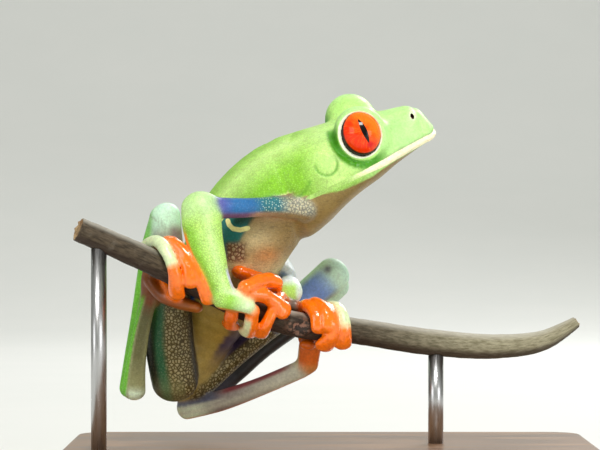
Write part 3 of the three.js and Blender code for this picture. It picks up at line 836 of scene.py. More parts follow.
COAT = {
    "back": coat((138, 200, 42), fine=0.6),
    # a paler green that holds a painted sheen of light, high on the back and head and on the thigh's upper
    # side
    "back_sheen": coat((200, 238, 138), fine=0.45),
    "face": coat((184, 234, 128), fine=0.3),
    "face_pale": coat((188, 240, 150), fine=0.15),
    # painted shade: a dark green laid in the skin's folds and grooves
    "fold": coat((66, 146, 0), fine=0.3),
    "lid": coat((246, 250, 224), fine=0.05, wet=0.3),
    "lip": coat((255, 248, 205), fine=0.05, wet=0.1),
    # painted shadow of the mouth's slit
    "mouth": coat((150, 150, 140)),
    # painted shade inside the nostril's hole
    "nostril": coat((80, 46, 20)),
    "jaw_green": coat((160, 212, 92), fine=0.7),
    # the throat, chest and belly: pale skin darkened by painted shade, as they lie under the body and branch
    "throat": coat((146, 122, 68), crease=0.7, fine=0.2),
    "chest": coat((144, 120, 66), crease=1.0, fine=0.3),
    "chest_pale": coat((206, 186, 136), crease=0.9, fine=0.4),
    "chest_orange": coat((206, 124, 50), crease=0.8, fine=0.2),
    "belly": coat((158, 130, 52), fine=0.15),
    "belly_pale": coat((180, 158, 88), fine=0.15),
    # the groin's violet, darkened by painted shade
    "violet_shade": coat((58, 46, 76)),
    "flank": coat((26, 116, 112), fine=0.2),
    "flank_blue": coat((40, 84, 150), fine=0.2),
    # painted shadow of the upper arm on the flank
    "flank_arm_shadow": coat((24, 48, 26), fine=0.2),
    "bar": coat((252, 242, 164), fine=0.1),
    "patch": coat((128, 84, 54), coarse=1.0, speck=0.3),
    "arm_blue": coat((30, 104, 164), fine=0.3),
    "arm_violet": coat((88, 78, 164), fine=0.4),
    "arm_teal": coat((42, 120, 132), fine=0.9, speck=0.5),
    "arm_white": coat((150, 148, 132), fine=0.4, coarse=0.7, speck=0.6),
    "arm_under": coat((120, 76, 112), fine=0.3),
    "arm_brown": coat((188, 142, 104), fine=0.3),
    "elbow": coat((192, 232, 150), fine=0.4),
    "forearm": coat((190, 236, 116), fine=1.0),
    "forearm_edge": coat((140, 204, 34), fine=0.8),
    "orange_line": coat((250, 140, 46), fine=0.1, wet=0.2),
    "wrist": coat((200, 208, 228), fine=0.3),
    "hand": coat((158, 216, 76), fine=0.5),
    "hand_pale": coat((218, 246, 190), fine=0.3),
    "hand_edge": coat((206, 128, 58), fine=0.1, wet=0.3),
    "digit": coat((255, 118, 0), wet=1.0),
    # the digits' orange, darkened by painted shade
    "digit_shade": coat((206, 66, 0), wet=0.8),
    "digit_pale": coat((255, 150, 84), wet=1.0),
    "mint": coat((222, 236, 186), fine=0.1, wet=0.5),
    # the sole's orange-brown, darkened by painted shade under the branch, the next coat darker still
    "sole": coat((158, 84, 16), wet=0.4),
    "sole_shade": coat((122, 60, 8), fine=0.1, wet=0.1),
    "ankle": coat((214, 98, 0), fine=0.1, wet=0.3),
    "branch_shade": coat((110, 100, 88), wet=0.1),
    "knee_mint": coat((204, 240, 212), fine=0.25),
    # painted shade by the knee, between it and the forearm
    "knee_shade": coat((140, 120, 112), fine=0.2),
    "shank": coat((112, 194, 44), fine=0.8),
    "shank_edge": coat((182, 222, 158), fine=0.5),
    "tarsus": coat((96, 94, 54), fine=0.3),
    "tarsus_pale": coat((148, 148, 102), fine=0.3),
    "thigh": coat((90, 74, 16), coarse=1.0, speck=0.3),
    "thigh_teal": coat((24, 88, 48), fine=0.3, coarse=0.2, speck=0.1),
    # dark skin on the thigh's edges, darkened further by painted shade where they turn away
    "thigh_dark_shade": coat((36, 32, 26), coarse=0.4, speck=0.1),
    "thigh_blue": coat((132, 166, 232), fine=0.15),
    "thigh_rim": coat((216, 252, 218), fine=0.15),
    "thigh_spot": coat((84, 58, 96)),
    # painted shade: the left shank's inner side, nearly black
    "shin_shade": coat((34, 34, 36), wet=0.2),
    "shin_blue": coat((104, 108, 132), fine=0.1),
    "mauve": coat((136, 120, 118), fine=0.2),
    "mauve_pale": coat((204, 202, 180), fine=0.2),
    "plum": coat((140, 36, 58), fine=0.1),
    "heel": coat((224, 240, 210), fine=0.4),
    "lime": coat((178, 222, 100), fine=0.4),
    "white_blue": coat((224, 238, 240), fine=0.2),
}


def lay(under, over, share):
    """One coat, or the coat of that name, over another, covering it by share."""
    if isinstance(over, str):
        over = COAT[over]
    share = np.asarray(share)[:, None]
    return under * (1 - share) + over * share


def stops(value, *marks):
    """Coats that follow one another along a value: pairs of a place and a coat's name."""
    places = [mark[0] for mark in marks]
    coats = np.array([COAT[mark[1]] for mark in marks])
    return np.array([np.interp(value, places, coats[:, i]) for i in range(coats.shape[1])]).T


def path_distance(a, b, path):
    """How far places lie from a path of straight stretches."""
    best = np.full(len(a), 99.0)
    for (a0, b0), (a1, b1) in zip(path[:-1], path[1:]):
        da, db = a1 - a0, b1 - b0
        t = np.clip(((a - a0) * da + (b - b0) * db) / (da * da + db * db), 0, 1)
        best = np.minimum(best, np.hypot(a - a0 - t * da, b - b0 - t * db))
    return best


BARE = -0.3  # cover where no second coat is laid


def with_edge(under, over, cover):
    """Two coats and how far inside the over coat's crisp edge each point lies, in mm.

    Far from the edge both coats are the one that shows, so that nothing comes up where limbs mix.
    """
    shown = lay(under, over, ease(cover, -0.1, 0.1))
    far = ease(np.abs(cover), 0.2, -BARE)
    under, over = lay(under, shown, far), lay(over, shown, far)
    return np.concatenate([under, over, np.clip(cover, BARE, -BARE)[:, None]], axis=1)


def plain(under):
    return with_edge(under, under, np.full(len(under), BARE))


class Places:
    """Where the skin's points lie on one limb."""

    def __init__(self, limb, points):
        self.gap, self.share, self.across, self.fore = limb.measure(*points.T)
        self.x, self.y, self.z = points[:, 0], points[:, 1], points[:, 2] - HANG

    def full(self, value):
        return np.full(len(self.x), value)


# Yellow bars on the flank as paths of x and z, the first one hooked.
FLANK_BARS = [
    [(-14.7, 33.1), (-14.5, 32.5), (-13.9, 31.95), (-12.9, 31.8), (-11.8, 32.05)],
    [(-18.0, 31.0), (-17.0, 29.2), (-15.8, 28.4), (-14.2, 28.3)],
    [(-19.6, 27.0), (-18.6, 25.4), (-17.4, 24.7), (-15.8, 24.6)],
    [(-21.0, 22.8), (-20.2, 21.4), (-19.0, 20.8), (-17.6, 20.7)],
]
BAR_HALF = 0.34
# Where the green begins up the trunk's side, and the blue flank below it, from the rump, 0, to the neck, 1.
BACK_EDGE = [
    (0, 0.6), (0.3, 0.7), (0.5, 0.6), (0.6, 0.5),
    (0.69, 0.46), (0.78, 0.08), (0.9, -0.24), (1, -0.3),
]
FLANK_EDGE = [(0, 0.35), (0.3, 0.5), (0.45, 0.45), (0.55, 0.1), (0.6, -0.02), (0.75, 0.0)]
KNEE_FOLD = [(-25.9, 33.9), (-24.6, 32.9), (-23.4, 32.2)]
TRUNK_GIRTH = 7.0
SHOULDER_FOLD = [(-4.6, 36.5), (-3.8, 37.2), (-3.2, 38.0), (-3.0, 38.7)]


def shoulder_shade(x, y, z):
    """How far a point lies in the dark of the fold behind the jaw."""
    return 0.6 * hump(path_distance(x, z, SHOULDER_FOLD), 0.24) * (np.abs(y - 2) > 4)


def paint_trunk(at):
    """The green back, the flank with its bars, and the belly, by how far up the side a point lies."""
    rolls = [math.radians(row[5]) for row in TRUNK]
    spread = distances(np.array(TRUNK)[:, :3])
    roll = np.interp(at.share, spread / spread[-1], rolls)
    back = at.across * np.cos(roll) - at.fore * np.sin(roll)
    edge = np.interp(at.share, *zip(*BACK_EDGE))
    # painted sheen: the paler green high on the trunk's side, less of it toward the rump
    green = stops(back, (0.3, "back"), (0.75, "back_sheen"), (1, "back"))
    green = lay(green, "back", 0.6 * ease(-at.x, 14, 24))
    green = lay(green, "fold", shoulder_shade(at.x, at.y, at.z))
    low = np.interp(at.share, *zip(*FLANK_EDGE))
    flank = ease(back, low - 0.03, low + 0.05) * (1 - ease(at.share, 0.72, 0.8))
    body = lay(paint_under(at), paint_flank(at), flank)
    patch = ease(at.x, -15.4, -14.5) * ease(-at.x, 11.7, 12.7) * (at.y < 0)
    body = lay(body, "patch", patch * ease(at.z, 26.8, 27.6) * ease(-at.z, -30.4, -29.6))
    # painted shade: dark violet low in the groin
    body = lay(body, "violet_shade", 0.95 * ease(-back, 0.5, 0.7) * hump(at.z - 15.4, 2.6))
    bars = [path_distance(at.x, at.z, path) for path in FLANK_BARS]
    nearest = np.where(at.y < 2, bars[0], np.min(bars, axis=0))
    bar = np.where((back > -0.1) & (back < edge + 0.1), BAR_HALF - nearest, BARE)
    lead = (back - edge) * TRUNK_GIRTH
    green = lay(green, "bar", 0.7 * hump(lead - 0.05, 0.14) * (at.share < 0.9))
    over = np.where((lead > bar)[:, None], green, COAT["bar"])
    return with_edge(body, over, np.maximum(lead, bar))


def paint_under(at):
    """The belly and the chest, their pale skin darkened by painted shade, and the chest's pale and orange
    places.
    """
    under = stops(at.z, (10, "belly_pale"), (16, "belly"), (22, "belly"), (26, "chest_pale"),
                  (29, "chest"), (32, "chest"), (37, "chest"), (40, "throat"))
    under = lay(under, "chest_pale", 0.9 * hump(np.hypot((at.x + 11) / 1.5, at.z - 30.4), 2.0))
    under = lay(under, "chest_orange", 0.6 * hump(np.hypot((at.x + 9.2) / 1.6, at.z - 28.2), 1.1))
    return lay(under, "arm_brown", 0.6 * hump(at.z - 34.0, 0.8) * ease(at.x, -13, -11))


def paint_flank(at):
    side = stops(at.z, (14, "flank_blue"), (24, "flank_blue"), (30, "flank"), (36, "flank"))
    # painted shadow of the upper arm, high on the flank
    return lay(side, "flank_arm_shadow", 0.8 * ease(at.z, 32, 33) * ease(at.x, -14.5, -13.5))


def paint_head(points):
    """The green head, its cream lip and lids, and the fawn throat, its pale skin darkened by painted shade.
    """
    f, l, u = head_local(*points.T)
    below = mouth_height(f) - u
    # the back's green with its painted sheen runs forward into the face's green
    top = stops(f, (-21, "back"), (-16.5, "back_sheen"), (-11, "face"), (-6, "face_pale"), (0, "face_pale"))
    top = lay(top, "face", ease(u, 3, 5) * ease(f, -19, -12) * 0.6)
    body = lay(top, "jaw_green", ease(below, 0.1, 0.9) * ease(-f, 11, 14))
    body = lay(body, "fold", shoulder_shade(points[:, 0], points[:, 1], points[:, 2] - HANG))
    # the throat, its pale skin darkened by painted shade
    body = lay(body, "throat", ease(np.interp(f, *zip(*JAW_GREEN)) - u, -0.1, 0.15))
    # painted shadow along the mouth's slit
    body = lay(body, "mouth", 0.6 * hump(below + 0.06, 0.12) * ease(f, -14.5, -11))
    drum = np.hypot(f - EARDRUM[0], u - EARDRUM[2])
    beside = ease(np.abs(l), 6, 8)
    # painted shade in the eardrum's sunk ring, more of it below where the ring is deeper
    ring = 0.75 * hump(drum - EARDRUM_RADIUS, 0.2) * beside
    body = lay(body, "fold", ring * ease(EARDRUM[2] - u, -1.2, 0.6))
    body = lay(body, "face", 0.6 * (1 - ease(drum, 0.6, EARDRUM_RADIUS)) * beside)
    cover = np.minimum(below, np.interp(f, (-12, -8), LIP_BAND) - below)
    over = lay(COAT["lip"], "jaw_green", 0.9 * ease(-f, 10, 15.5))
    for side in (-1, 1):
        ahead, up, out = rim_places(f, l, u, side)
        low = rear_low(ahead, up)
        rim = past_ring(ahead, up, RIM_HALF)
        # painted shade in the groove behind and below the eye
        groove = ease(rim, 0.1, 0.4) * (1 - ease(rim, 1.1, 1.9))
        body = lay(body, "fold", low * groove * ease(out, -3.0, -1.5))
        body = lay(body, "face_pale", hump(rim, 0.7) * (1 - low) * ease(out, -0.5, 0.5))
        behind = -ahead / (np.sqrt(ahead**2 + up**2) + 1e-6)
        lid = np.where(out > 0.3, np.interp(behind, (0, 0.8), LID_MARGIN) - rim, BARE)
        over = np.where((lid > cover)[:, None], COAT["lid"], over)
        cover = np.maximum(cover, lid)
        hole = oval(f, l, u, NOSTRIL * (1, side, 1), NOSTRIL_HALF)
        body = lay(body, "lid", 0.85 * hump(np.maximum(hole, 0), 0.3))
        # the nostril's hole painted dark brown as painted shade
        over = np.where((-hole > cover)[:, None], COAT["nostril"], over)
        cover = np.maximum(cover, 0.05 - hole)
    return with_edge(body, over, cover)


def paint_right_upper_arm(at):
    arm = stops(at.share, (0.0, "arm_white"), (0.16, "arm_white"), (0.28, "arm_teal"), (0.42, "arm_teal"),
                (0.54, "arm_blue"), (0.7, "arm_blue"), (0.82, "arm_violet"), (0.9, "arm_violet"),
                (0.98, "elbow"))
    under = stops(at.share, (0.1, "chest"), (0.5, "arm_brown"), (0.6, "arm_under"), (0.9, "arm_under"))
    return lay(arm, under, 0.85 * ease(at.across, 0.3, 0.75) * (1 - ease(at.share, 0.88, 0.95)))


def paint_left_upper_arm(at):
    arm = stops(at.share, (0.0, "arm_white"), (0.25, "arm_teal"), (0.5, "arm_blue"), (0.8, "arm_violet"),
                (0.95, "elbow"))
    return lay(arm, "back", ease(-at.fore, 0.3, 0.6))


def paint_right_forearm(at):
    arm = stops(at.share, (0, "elbow"), (0.06, "elbow"), (0.2, "forearm"), (1, "forearm"))
    arm = lay(arm, "forearm_edge", 0.85 * ease(-at.across, 0.1, 0.6) * ease(at.share, 0.1, 0.3))
    # painted highlight: a pale band along the forearm
    pale = hump(at.across - 0.35, 0.3) * 0.35
    arm = lay(arm, "hand_pale", pale)
    line = ease(-at.across, 0.8, 0.9) * ease(at.share, 0.2, 0.35)
    arm = lay(arm, "orange_line", line)
    return lay(arm, "wrist", ease(at.across, 0.72, 0.92) * ease(at.share, 0.72, 0.85))


def paint_right_hand(at):
    hand = stops(at.share, (0, "forearm"), (0.35, "hand"), (0.8, "hand_pale"), (1, "hand_pale"))
    hand = lay(hand, "hand_pale", ease(at.across, 0.3, 0.7))
    return lay(hand, "hand_edge", ease(-at.across, 0.75, 0.9))


def paint_left_forearm(at):
    arm = stops(at.share, (0, "forearm"), (0.5, "forearm"), (0.8, "white_blue"), (1, "white_blue"))
    inner = -0.563 * (at.x + 7.0) - 0.826 * (at.z - 26.9)
    return lay(arm, "arm_blue", 0.8 * ease(inner, 0.6, 1.1))


def paint_left_hand(at):
    hand = stops(at.z, (21.5, "lime"), (23.6, "lime"), (24.6, "white_blue"))
    return lay(hand, "white_blue", 0.8 * ease(at.x, -5.3, -4.5))


def paint_right_thigh(at):
    # the thigh's edges in dark skin with painted shade
    leg = stops(at.across, (-0.95, "thigh_dark_shade"), (-0.75, "thigh"), (0.08, "thigh"), (0.32, "thigh_teal"),
                (0.52, "thigh_teal"), (0.72, "thigh_dark_shade"))
    leg = lay(leg, "tarsus_pale", 0.35 * (1 - ease(at.z, 8, 12)) * (at.across > -0.4))
    # painted shade below the knee and on its side toward the forearm
    knee = stops(at.z, (22, "knee_shade"), (30.2, "knee_shade"), (32.5, "knee_mint"), (36, "knee_mint"))
    knee = lay(knee, "knee_shade", ease(-at.across, -0.1, 0.5) * (1 - ease(at.z, 31.5, 33)))
    leg = lay(leg, knee, ease(at.z, 24, 27))
    fold = path_distance(at.x, at.z, KNEE_FOLD)
    # painted shade along the crease of the knee's fold
    leg = lay(leg, "tarsus", 0.4 * hump(fold, 0.16))
    # the thigh's upper side in the paler green that holds a painted sheen
    return lay(leg, "back_sheen", ease(-at.fore, 0.4, 0.7) * ease(at.z, 18, 28))


def paint_right_shank(at):
    leg = stops(at.share, (0, "knee_mint"), (0.06, "knee_mint"), (0.2, "shank"), (1, "shank"))
    leg = lay(leg, "shank", 0.8 * ease(-at.across, 0.1, 0.7))
    fold = path_distance(at.x, at.z, KNEE_FOLD)
    # painted shade along the crease of the knee's fold
    leg = lay(leg, "tarsus", 0.4 * hump(fold, 0.16))
    edge = ease(at.across, 0.1, 0.6) * ease(at.fore, 0.1, 0.5) * ease(at.share, 0.1, 0.3)
    leg = lay(leg, "shank_edge", 0.8 * edge)
    inner = 1 - ease(at.z, 21, 25)
    leg = lay(leg, "tarsus", inner * ease(at.across, -0.3, -0.1) * (at.fore > 0))
    # painted highlight: a thin pale line where the grey meets the green
    return lay(leg, "tarsus_pale", inner * hump(at.across + 0.25, 0.12) * (at.fore > 0))


def paint_right_tarsus(at):
    # the end by the sole in painted shade under the branch
    leg = stops(at.share, (0, "heel"), (0.12, "tarsus_pale"), (0.4, "tarsus"), (0.8, "tarsus"),
                (1, "sole_shade"))
    leg = lay(leg, "tarsus_pale", 0.6 * ease(-at.across, 0.4, 0.9))
    green = ease(at.across, 0.52, 0.72)
    # painted highlight: a thin pale line beside the green edge
    leg = lay(leg, "tarsus_pale", 0.8 * hump(at.across - 0.5, 0.12))
    return lay(leg, "shank", np.maximum(green, ease(-at.fore, 0.3, 0.6)))


def paint_right_foot(at):
    # the foot under the branch in painted shade, its end in the digits' shaded orange
    return stops(at.share, (0, "sole_shade"), (0.5, "sole_shade"), (0.8, "sole"), (1, "digit_shade"))


def paint_left_thigh(at):
    # the thigh's top by the groin in violet darkened by painted shade
    leg = stops(at.across, (-0.9, "thigh"), (0.15, "thigh"), (0.4, "violet_shade"))
    knee = stops(at.across, (-1, "tarsus_pale"), (-0.7, "thigh_blue"), (0.6, "thigh_blue"),
                 (0.95, "thigh_rim"))
    spot = hump(np.hypot(at.x + 0.3, at.z - 26.0), 0.6)
    knee = lay(knee, "thigh_rim", ease(at.share, 0.86, 1) * 0.9)
    knee = lay(knee, "thigh_spot", 0.85 * spot)
    leg = lay(leg, knee, ease(at.share, 0.5, 0.6))
    return lay(leg, "back", ease(-at.fore, 0.4, 0.7) * ease(at.share, 0.3, 0.5))


def paint_left_shank(at):
    # painted shade down the middle of the shank
    leg = stops(at.share, (0, "knee_mint"), (0.12, "thigh_rim"), (0.24, "shin_shade"), (0.72, "shin_shade"),
                (0.88, "shin_blue"), (1, "heel"))
    return lay(leg, "shank", ease(-at.fore, 0.1, 0.45))


def paint_left_tarsus(at):
    leg = stops(at.share, (0, "heel"), (0.12, "heel"), (0.26, "mauve"), (0.9, "mauve_pale"),
                (1, "mauve_pale"))
    plum = ease(at.across, 0.4, 0.75) * ease(at.share, 0.25, 0.4) * (1 - ease(at.share, 0.8, 0.95))
    leg = lay(leg, "plum", 0.85 * plum)
    leg = lay(leg, "shin_blue", ease(at.across, 0.0, 0.4) * (1 - ease(at.share, 0.2, 0.36)))
    # painted highlight: a thin pale line along the grey-blue by the heel
    leg = lay(leg, "mauve_pale", 0.8 * hump(at.across - 0.1, 0.12) * (1 - ease(at.share, 0.25, 0.4)))
    leg = lay(leg, "mauve_pale", 0.7 * hump(at.across + 0.35, 0.3))
    return lay(leg, "digit_pale", 0.4 * ease(-at.across, 0.8, 0.95))


def paint_left_foot(at):
    foot = stops(at.share, (0, "hand_edge"), (0.15, "ankle"), (0.6, "ankle"), (0.9, "digit"), (1, "digit"))
    return lay(foot, "mint", 0.6 * ease(at.across, 0.8, 0.95) * (1 - ease(at.share, 0.2, 0.4)))


def paint_digit(name, at):
    if name == "right_toe_5":
        return stops(at.share, (0.0, "mint"), (0.62, "mint"), (0.68, "digit"), (1, "digit"))
    if name == "left_toe_5":
        return stops(at.share, (0.0, "mint"), (0.72, "mint"), (0.8, "digit"), (1, "digit"))
    digit = stops(at.share, (0.0, "digit"), (1.0, "digit"))
    if name == "right_finger_4":
        digit = lay(digit, "mint", 0.9 * ease(-at.across, -0.1, 0.2) * ease(at.share, 0.1, 0.3))
    # this toe runs under the branch, in painted shade
    if name == "right_toe_1":
        return stops(at.share, (0.0, "sole_shade"), (0.6, "sole_shade"), (1, "sole"))
    if name in ("left_finger_3", "left_finger_4"):
        digit = lay(digit, "branch_shade", 1 - ease(at.share, 0.3, 0.5))
    if name == "left_toe_1":
        digit = lay(digit, "ankle", at.full(1.0))
    # these two fingers lie in shade, so painted shade darkens them
    if name in ("right_finger_1", "left_finger_1"):
        digit = lay(digit, "digit_shade", at.full(0.35))
    return digit


PAINTS = {
    "trunk": paint_trunk,
    "right_upper_arm": paint_right_upper_arm,
    "left_upper_arm": paint_left_upper_arm,
    "right_forearm": paint_right_forearm,
    "left_forearm": paint_left_forearm,
    "right_hand": paint_right_hand,
    "left_hand": paint_left_hand,
    "right_thigh": paint_right_thigh,
    "left_thigh": paint_left_thigh,
    "right_shank": paint_right_shank,
    "left_shank": paint_left_shank,
    "right_tarsus": paint_right_tarsus,
    "left_tarsus": paint_left_tarsus,
    "right_foot": paint_right_foot,
    "left_foot": paint_left_foot,
}
PAINT_SPREAD = 0.2  # how far one limb's coat runs into the next


def painted(limbs, points):
    """Each point's coat, mixed from the limbs that it lies on."""
    parts = [(head_field(*head_local(*points.T)), paint_head(points))]
    for name, limb in limbs.items():
        at = Places(limb, points)
        painter = PAINTS.get(name)
        coats = painter(at) if painter else paint_digit(name, at)
        parts.append((at.gap, coats if name == "trunk" else plain(coats)))
    total = np.zeros_like(parts[0][1])
    weight = np.zeros(len(points))
    for gap, coats in parts:
        share = np.exp(-np.clip(gap, -1.5, 6) / PAINT_SPREAD)
        total += coats * share[:, None]
        weight += share
    return total / weight[:, None]


def crisp_places(limbs, points):
    """Whether each point lies by a crisp edge between two coats."""
    at = Places(limbs["trunk"], points)
    on_trunk = (np.abs(paint_trunk(at)[:, -1]) < -BARE) & (at.gap < 0.3)
    on_head = (np.abs(paint_head(points)[:, -1]) < -BARE) & (head_field(*head_local(*points.T)) < 0.3)
    return on_trunk | on_head


# ---------------------------------------------------------------- materials

FINE_GRAIN, COARSE_GRAIN = 3300.0, 2050.0  # skin granules to a metre


class Nodes:
    """A short way to write a material's or group's nodes."""

    def __init__(self, tree):
        self.tree = tree

    def add(self, kind, **settings):
        node = self.tree.nodes.new(kind)
        for name, value in settings.items():
            setattr(node, name, value)
        return node

    def feed(self, socket, source):
        if hasattr(source, "links") or hasattr(source, "is_linked"):
            self.tree.links.new(source, socket)
        elif source is not None:
            socket.default_value = source

    def math(self, operation, first, second=None, third=None):
        node = self.add("ShaderNodeMath", operation=operation)
        for socket, source in zip(node.inputs, (first, second, third)):
            self.feed(socket, source)
        return node.outputs[0]

    def times(self, first, second):
        return self.math("MULTIPLY", first, second)

    def plus(self, first, second):
        return self.math("ADD", first, second)

    def mix(self, share, first, second):
        node = self.add("ShaderNodeMix", data_type="RGBA")
        self.feed(node.inputs["Factor"], share)
        self.feed(node.inputs[6], first)
        self.feed(node.inputs[7], second)
        return node.outputs[2]

    def remap(self, value, low, high, to_low=0.0, to_high=1.0):
        node = self.add("ShaderNodeMapRange", interpolation_type="SMOOTHSTEP")
        for socket, source in zip(node.inputs, (value, low, high, to_low, to_high)):
            self.feed(socket, source)
        return node.outputs[0]

    def place(self, scale=(1, 1, 1)):
        texture = self.add("ShaderNodeTexCoord").outputs["Object"]
        mapping = self.add("ShaderNodeMapping")
        mapping.inputs["Scale"].default_value = scale
        self.feed(mapping.inputs["Vector"], texture)
        return mapping.outputs[0]

    def noise(self, vector, scale, detail=3.0, rough=0.55):
        node = self.add("ShaderNodeTexNoise")
        self.feed(node.inputs["Vector"], vector)
        self.feed(node.inputs["Scale"], scale)
        node.inputs["Detail"].default_value = detail
        node.inputs["Roughness"].default_value = rough
        return node.outputs[0]

    def attribute(self, name, output="Fac"):
        return self.add("ShaderNodeAttribute", attribute_name=name).outputs[output]

    def split(self, vector):
        node = self.add("ShaderNodeSeparateXYZ")
        self.feed(node.inputs[0], vector)
        return node.outputs

    def length(self, first, second):
        return self.math("SQRT", self.plus(self.times(first, first), self.times(second, second)))


def group(name, inputs, outputs):
    """An empty node group with number inputs and outputs, and its ends."""
    tree = bpy.data.node_groups.new(name, "ShaderNodeTree")
    for label, value in inputs.items():
        kind = "NodeSocketVector" if value is None else "NodeSocketFloat"
        socket = tree.interface.new_socket(label, in_out="INPUT", socket_type=kind)
        if value is not None:
            socket.default_value = value
    for label in outputs:
        tree.interface.new_socket(label, in_out="OUTPUT", socket_type="NodeSocketFloat")
    nodes = Nodes(tree)
    return nodes, nodes.add("NodeGroupInput").outputs, nodes.add("NodeGroupOutput").inputs


def granule_group():
    """Rounded skin granules: their height, and a mask of the seams between them."""
    nodes, source, result = group(
        "granules", {"Vector": None, "Size": 1000.0}, ("Height", "Seam", "Middle")
    )
    cells = nodes.add("ShaderNodeTexVoronoi", feature="F1")
    nodes.feed(cells.inputs["Vector"], source["Vector"])
    nodes.feed(cells.inputs["Scale"], source["Size"])
    seams = nodes.add("ShaderNodeTexVoronoi", feature="DISTANCE_TO_EDGE")
    nodes.feed(seams.inputs["Vector"], source["Vector"])
    nodes.feed(seams.inputs["Scale"], source["Size"])
    nodes.feed(result["Height"], nodes.remap(cells.outputs["Distance"], 0.75, 0.05))
    nodes.feed(result["Seam"], nodes.remap(seams.outputs["Distance"], 0.16, 0.02))
    nodes.feed(result["Middle"], nodes.remap(seams.outputs["Distance"], 0.06, 0.3))
    return nodes.tree


def mottle_group():
    """Uneven colour: a value about 1 that wanders by the given amount."""
    nodes, source, result = group("mottle", {"Vector": None, "Size": 500.0, "Amount": 0.1}, ("Value",))
    spread = nodes.remap(nodes.noise(source["Vector"], source["Size"]), 0.3, 0.7, -1.0, 1.0)
    nodes.feed(result["Value"], nodes.math("MULTIPLY_ADD", spread, source["Amount"], 1.0))
    return nodes.tree


def use(nodes, tree, **inputs):
    node = nodes.add("ShaderNodeGroup", node_tree=tree)
    for label, value in inputs.items():
        nodes.feed(node.inputs[label], value)
    return node.outputs


def material(name):
    made = bpy.data.materials.new(name)
    made.use_nodes = True
    shader = made.node_tree.nodes["Principled BSDF"]
    return made, Nodes(made.node_tree), shader


def bump(nodes, height, distance, strength=1.0, normal=None):
    node = nodes.add("ShaderNodeBump")
    node.inputs["Distance"].default_value = distance * METRES
    node.inputs["Strength"].default_value = strength
    nodes.feed(node.inputs["Height"], height)
    if normal is not None:
        nodes.feed(node.inputs["Normal"], normal)
    return node.outputs[0]


def skin_colour(nodes, place, texture, small, large, streaks):
    """The coats' colour, uneven, darker in seams and creases and paler on the granules' tops."""
    fine, coarse, crease = texture
    mottle = mottle_group()
    ragged = nodes.math("MULTIPLY_ADD", nodes.noise(place, 2500.0), 0.06, nodes.attribute("cover"))
    edge = nodes.remap(ragged, -0.01, 0.07)
    tint = nodes.mix(edge, nodes.attribute("tint", "Color"), nodes.attribute("over", "Color"))
    broad = use(nodes, mottle, Vector=place, Size=420.0, Amount=0.08)["Value"]
    close = use(nodes, mottle, Vector=place, Size=2600.0, Amount=0.1)["Value"]
    fine_seam = nodes.times(small["Seam"], fine)
    seam = nodes.times(large["Seam"], coarse)
    line = nodes.times(nodes.remap(streaks, 0.46, 0.36), crease)
    tone = nodes.times(broad, close)
    for mark, depth in ((fine_seam, -0.34), (seam, -0.45), (line, -0.26)):
        tone = nodes.times(tone, nodes.math("MULTIPLY_ADD", mark, depth, 1.0))
    scaled = nodes.add("ShaderNodeVectorMath", operation="SCALE")
    nodes.feed(scaled.inputs[0], tint)
    nodes.feed(scaled.inputs["Scale"], tone)
    speck = nodes.attribute("speck")
    fine_top = nodes.times(nodes.remap(small["Height"], 0.55, 0.95), fine)
    fine_top = nodes.times(fine_top, nodes.plus(speck, 0.1))
    colour = nodes.mix(fine_top, scaled.outputs[0], (0.92, 1.0, 0.76, 1))
    top = nodes.times(large["Middle"], coarse)
    return nodes.mix(nodes.times(top, speck), colour, (0.84, 0.74, 0.42, 1))


def skin_gloss(nodes, place, wet):
    """How rough the skin is, from dry to wet."""
    dry = nodes.remap(nodes.noise(place, 1500.0), 0.3, 0.7, 0.42, 0.56)
    damp = nodes.remap(nodes.noise(place, 1200.0), 0.3, 0.7, 0.14, 0.26)
    gloss = nodes.add("ShaderNodeMix", data_type="FLOAT")
    nodes.feed(gloss.inputs[0], wet)
    nodes.feed(gloss.inputs[2], dry)
    nodes.feed(gloss.inputs[3], damp)
    return gloss.outputs[0]


def skin_relief(nodes, place, texture, small, large, streaks, wet):
    """Granules, creases and the ripple of wet skin, as a height."""
    fine, coarse, crease = texture
    height = nodes.times(small["Height"], nodes.times(fine, 0.55))
    height = nodes.math("MULTIPLY_ADD", large["Height"], coarse, height)
    height = nodes.math("MULTIPLY_ADD", streaks, nodes.times(crease, 1.4), height)
    ripple = nodes.times(nodes.noise(place, 1000.0, 3.0), nodes.times(wet, 2.4))
    return nodes.plus(height, ripple)


def skin_material():
    """Frog skin: its coats come from attributes, its grain and creases from nodes."""
    made, nodes, shader = material("frog skin")
    granules = granule_group()
    place = nodes.place()
    wet = nodes.attribute("wet")
    texture = nodes.split(nodes.attribute("texture", "Vector"))
    small = use(nodes, granules, Vector=place, Size=FINE_GRAIN)
    large = use(nodes, granules, Vector=place, Size=COARSE_GRAIN)
    streaks = nodes.noise(nodes.place((1.0, 1.0, 5.0)), 900.0, 4.0, 0.6)
    nodes.feed(shader.inputs["Base Color"], skin_colour(nodes, place, texture, small, large, streaks))
    nodes.feed(shader.inputs["Roughness"], skin_gloss(nodes, place, wet))
    nodes.feed(shader.inputs["Coat Weight"], nodes.math("MULTIPLY_ADD", wet, 0.75, 0.05))
    shader.inputs["Coat Roughness"].default_value = 0.12
    shader.inputs["Specular IOR Level"].default_value = 0.4
    shader.inputs["Subsurface Weight"].default_value = 0.12
    shader.inputs["Subsurface Radius"].default_value = (1.0, 0.5, 0.25)
    shader.inputs["Subsurface Scale"].default_value = 0.5 * METRES
    height = skin_relief(nodes, place, texture, small, large, streaks, wet)
    nodes.feed(shader.inputs["Normal"], bump(nodes, height, 0.09, 0.75))
    return made


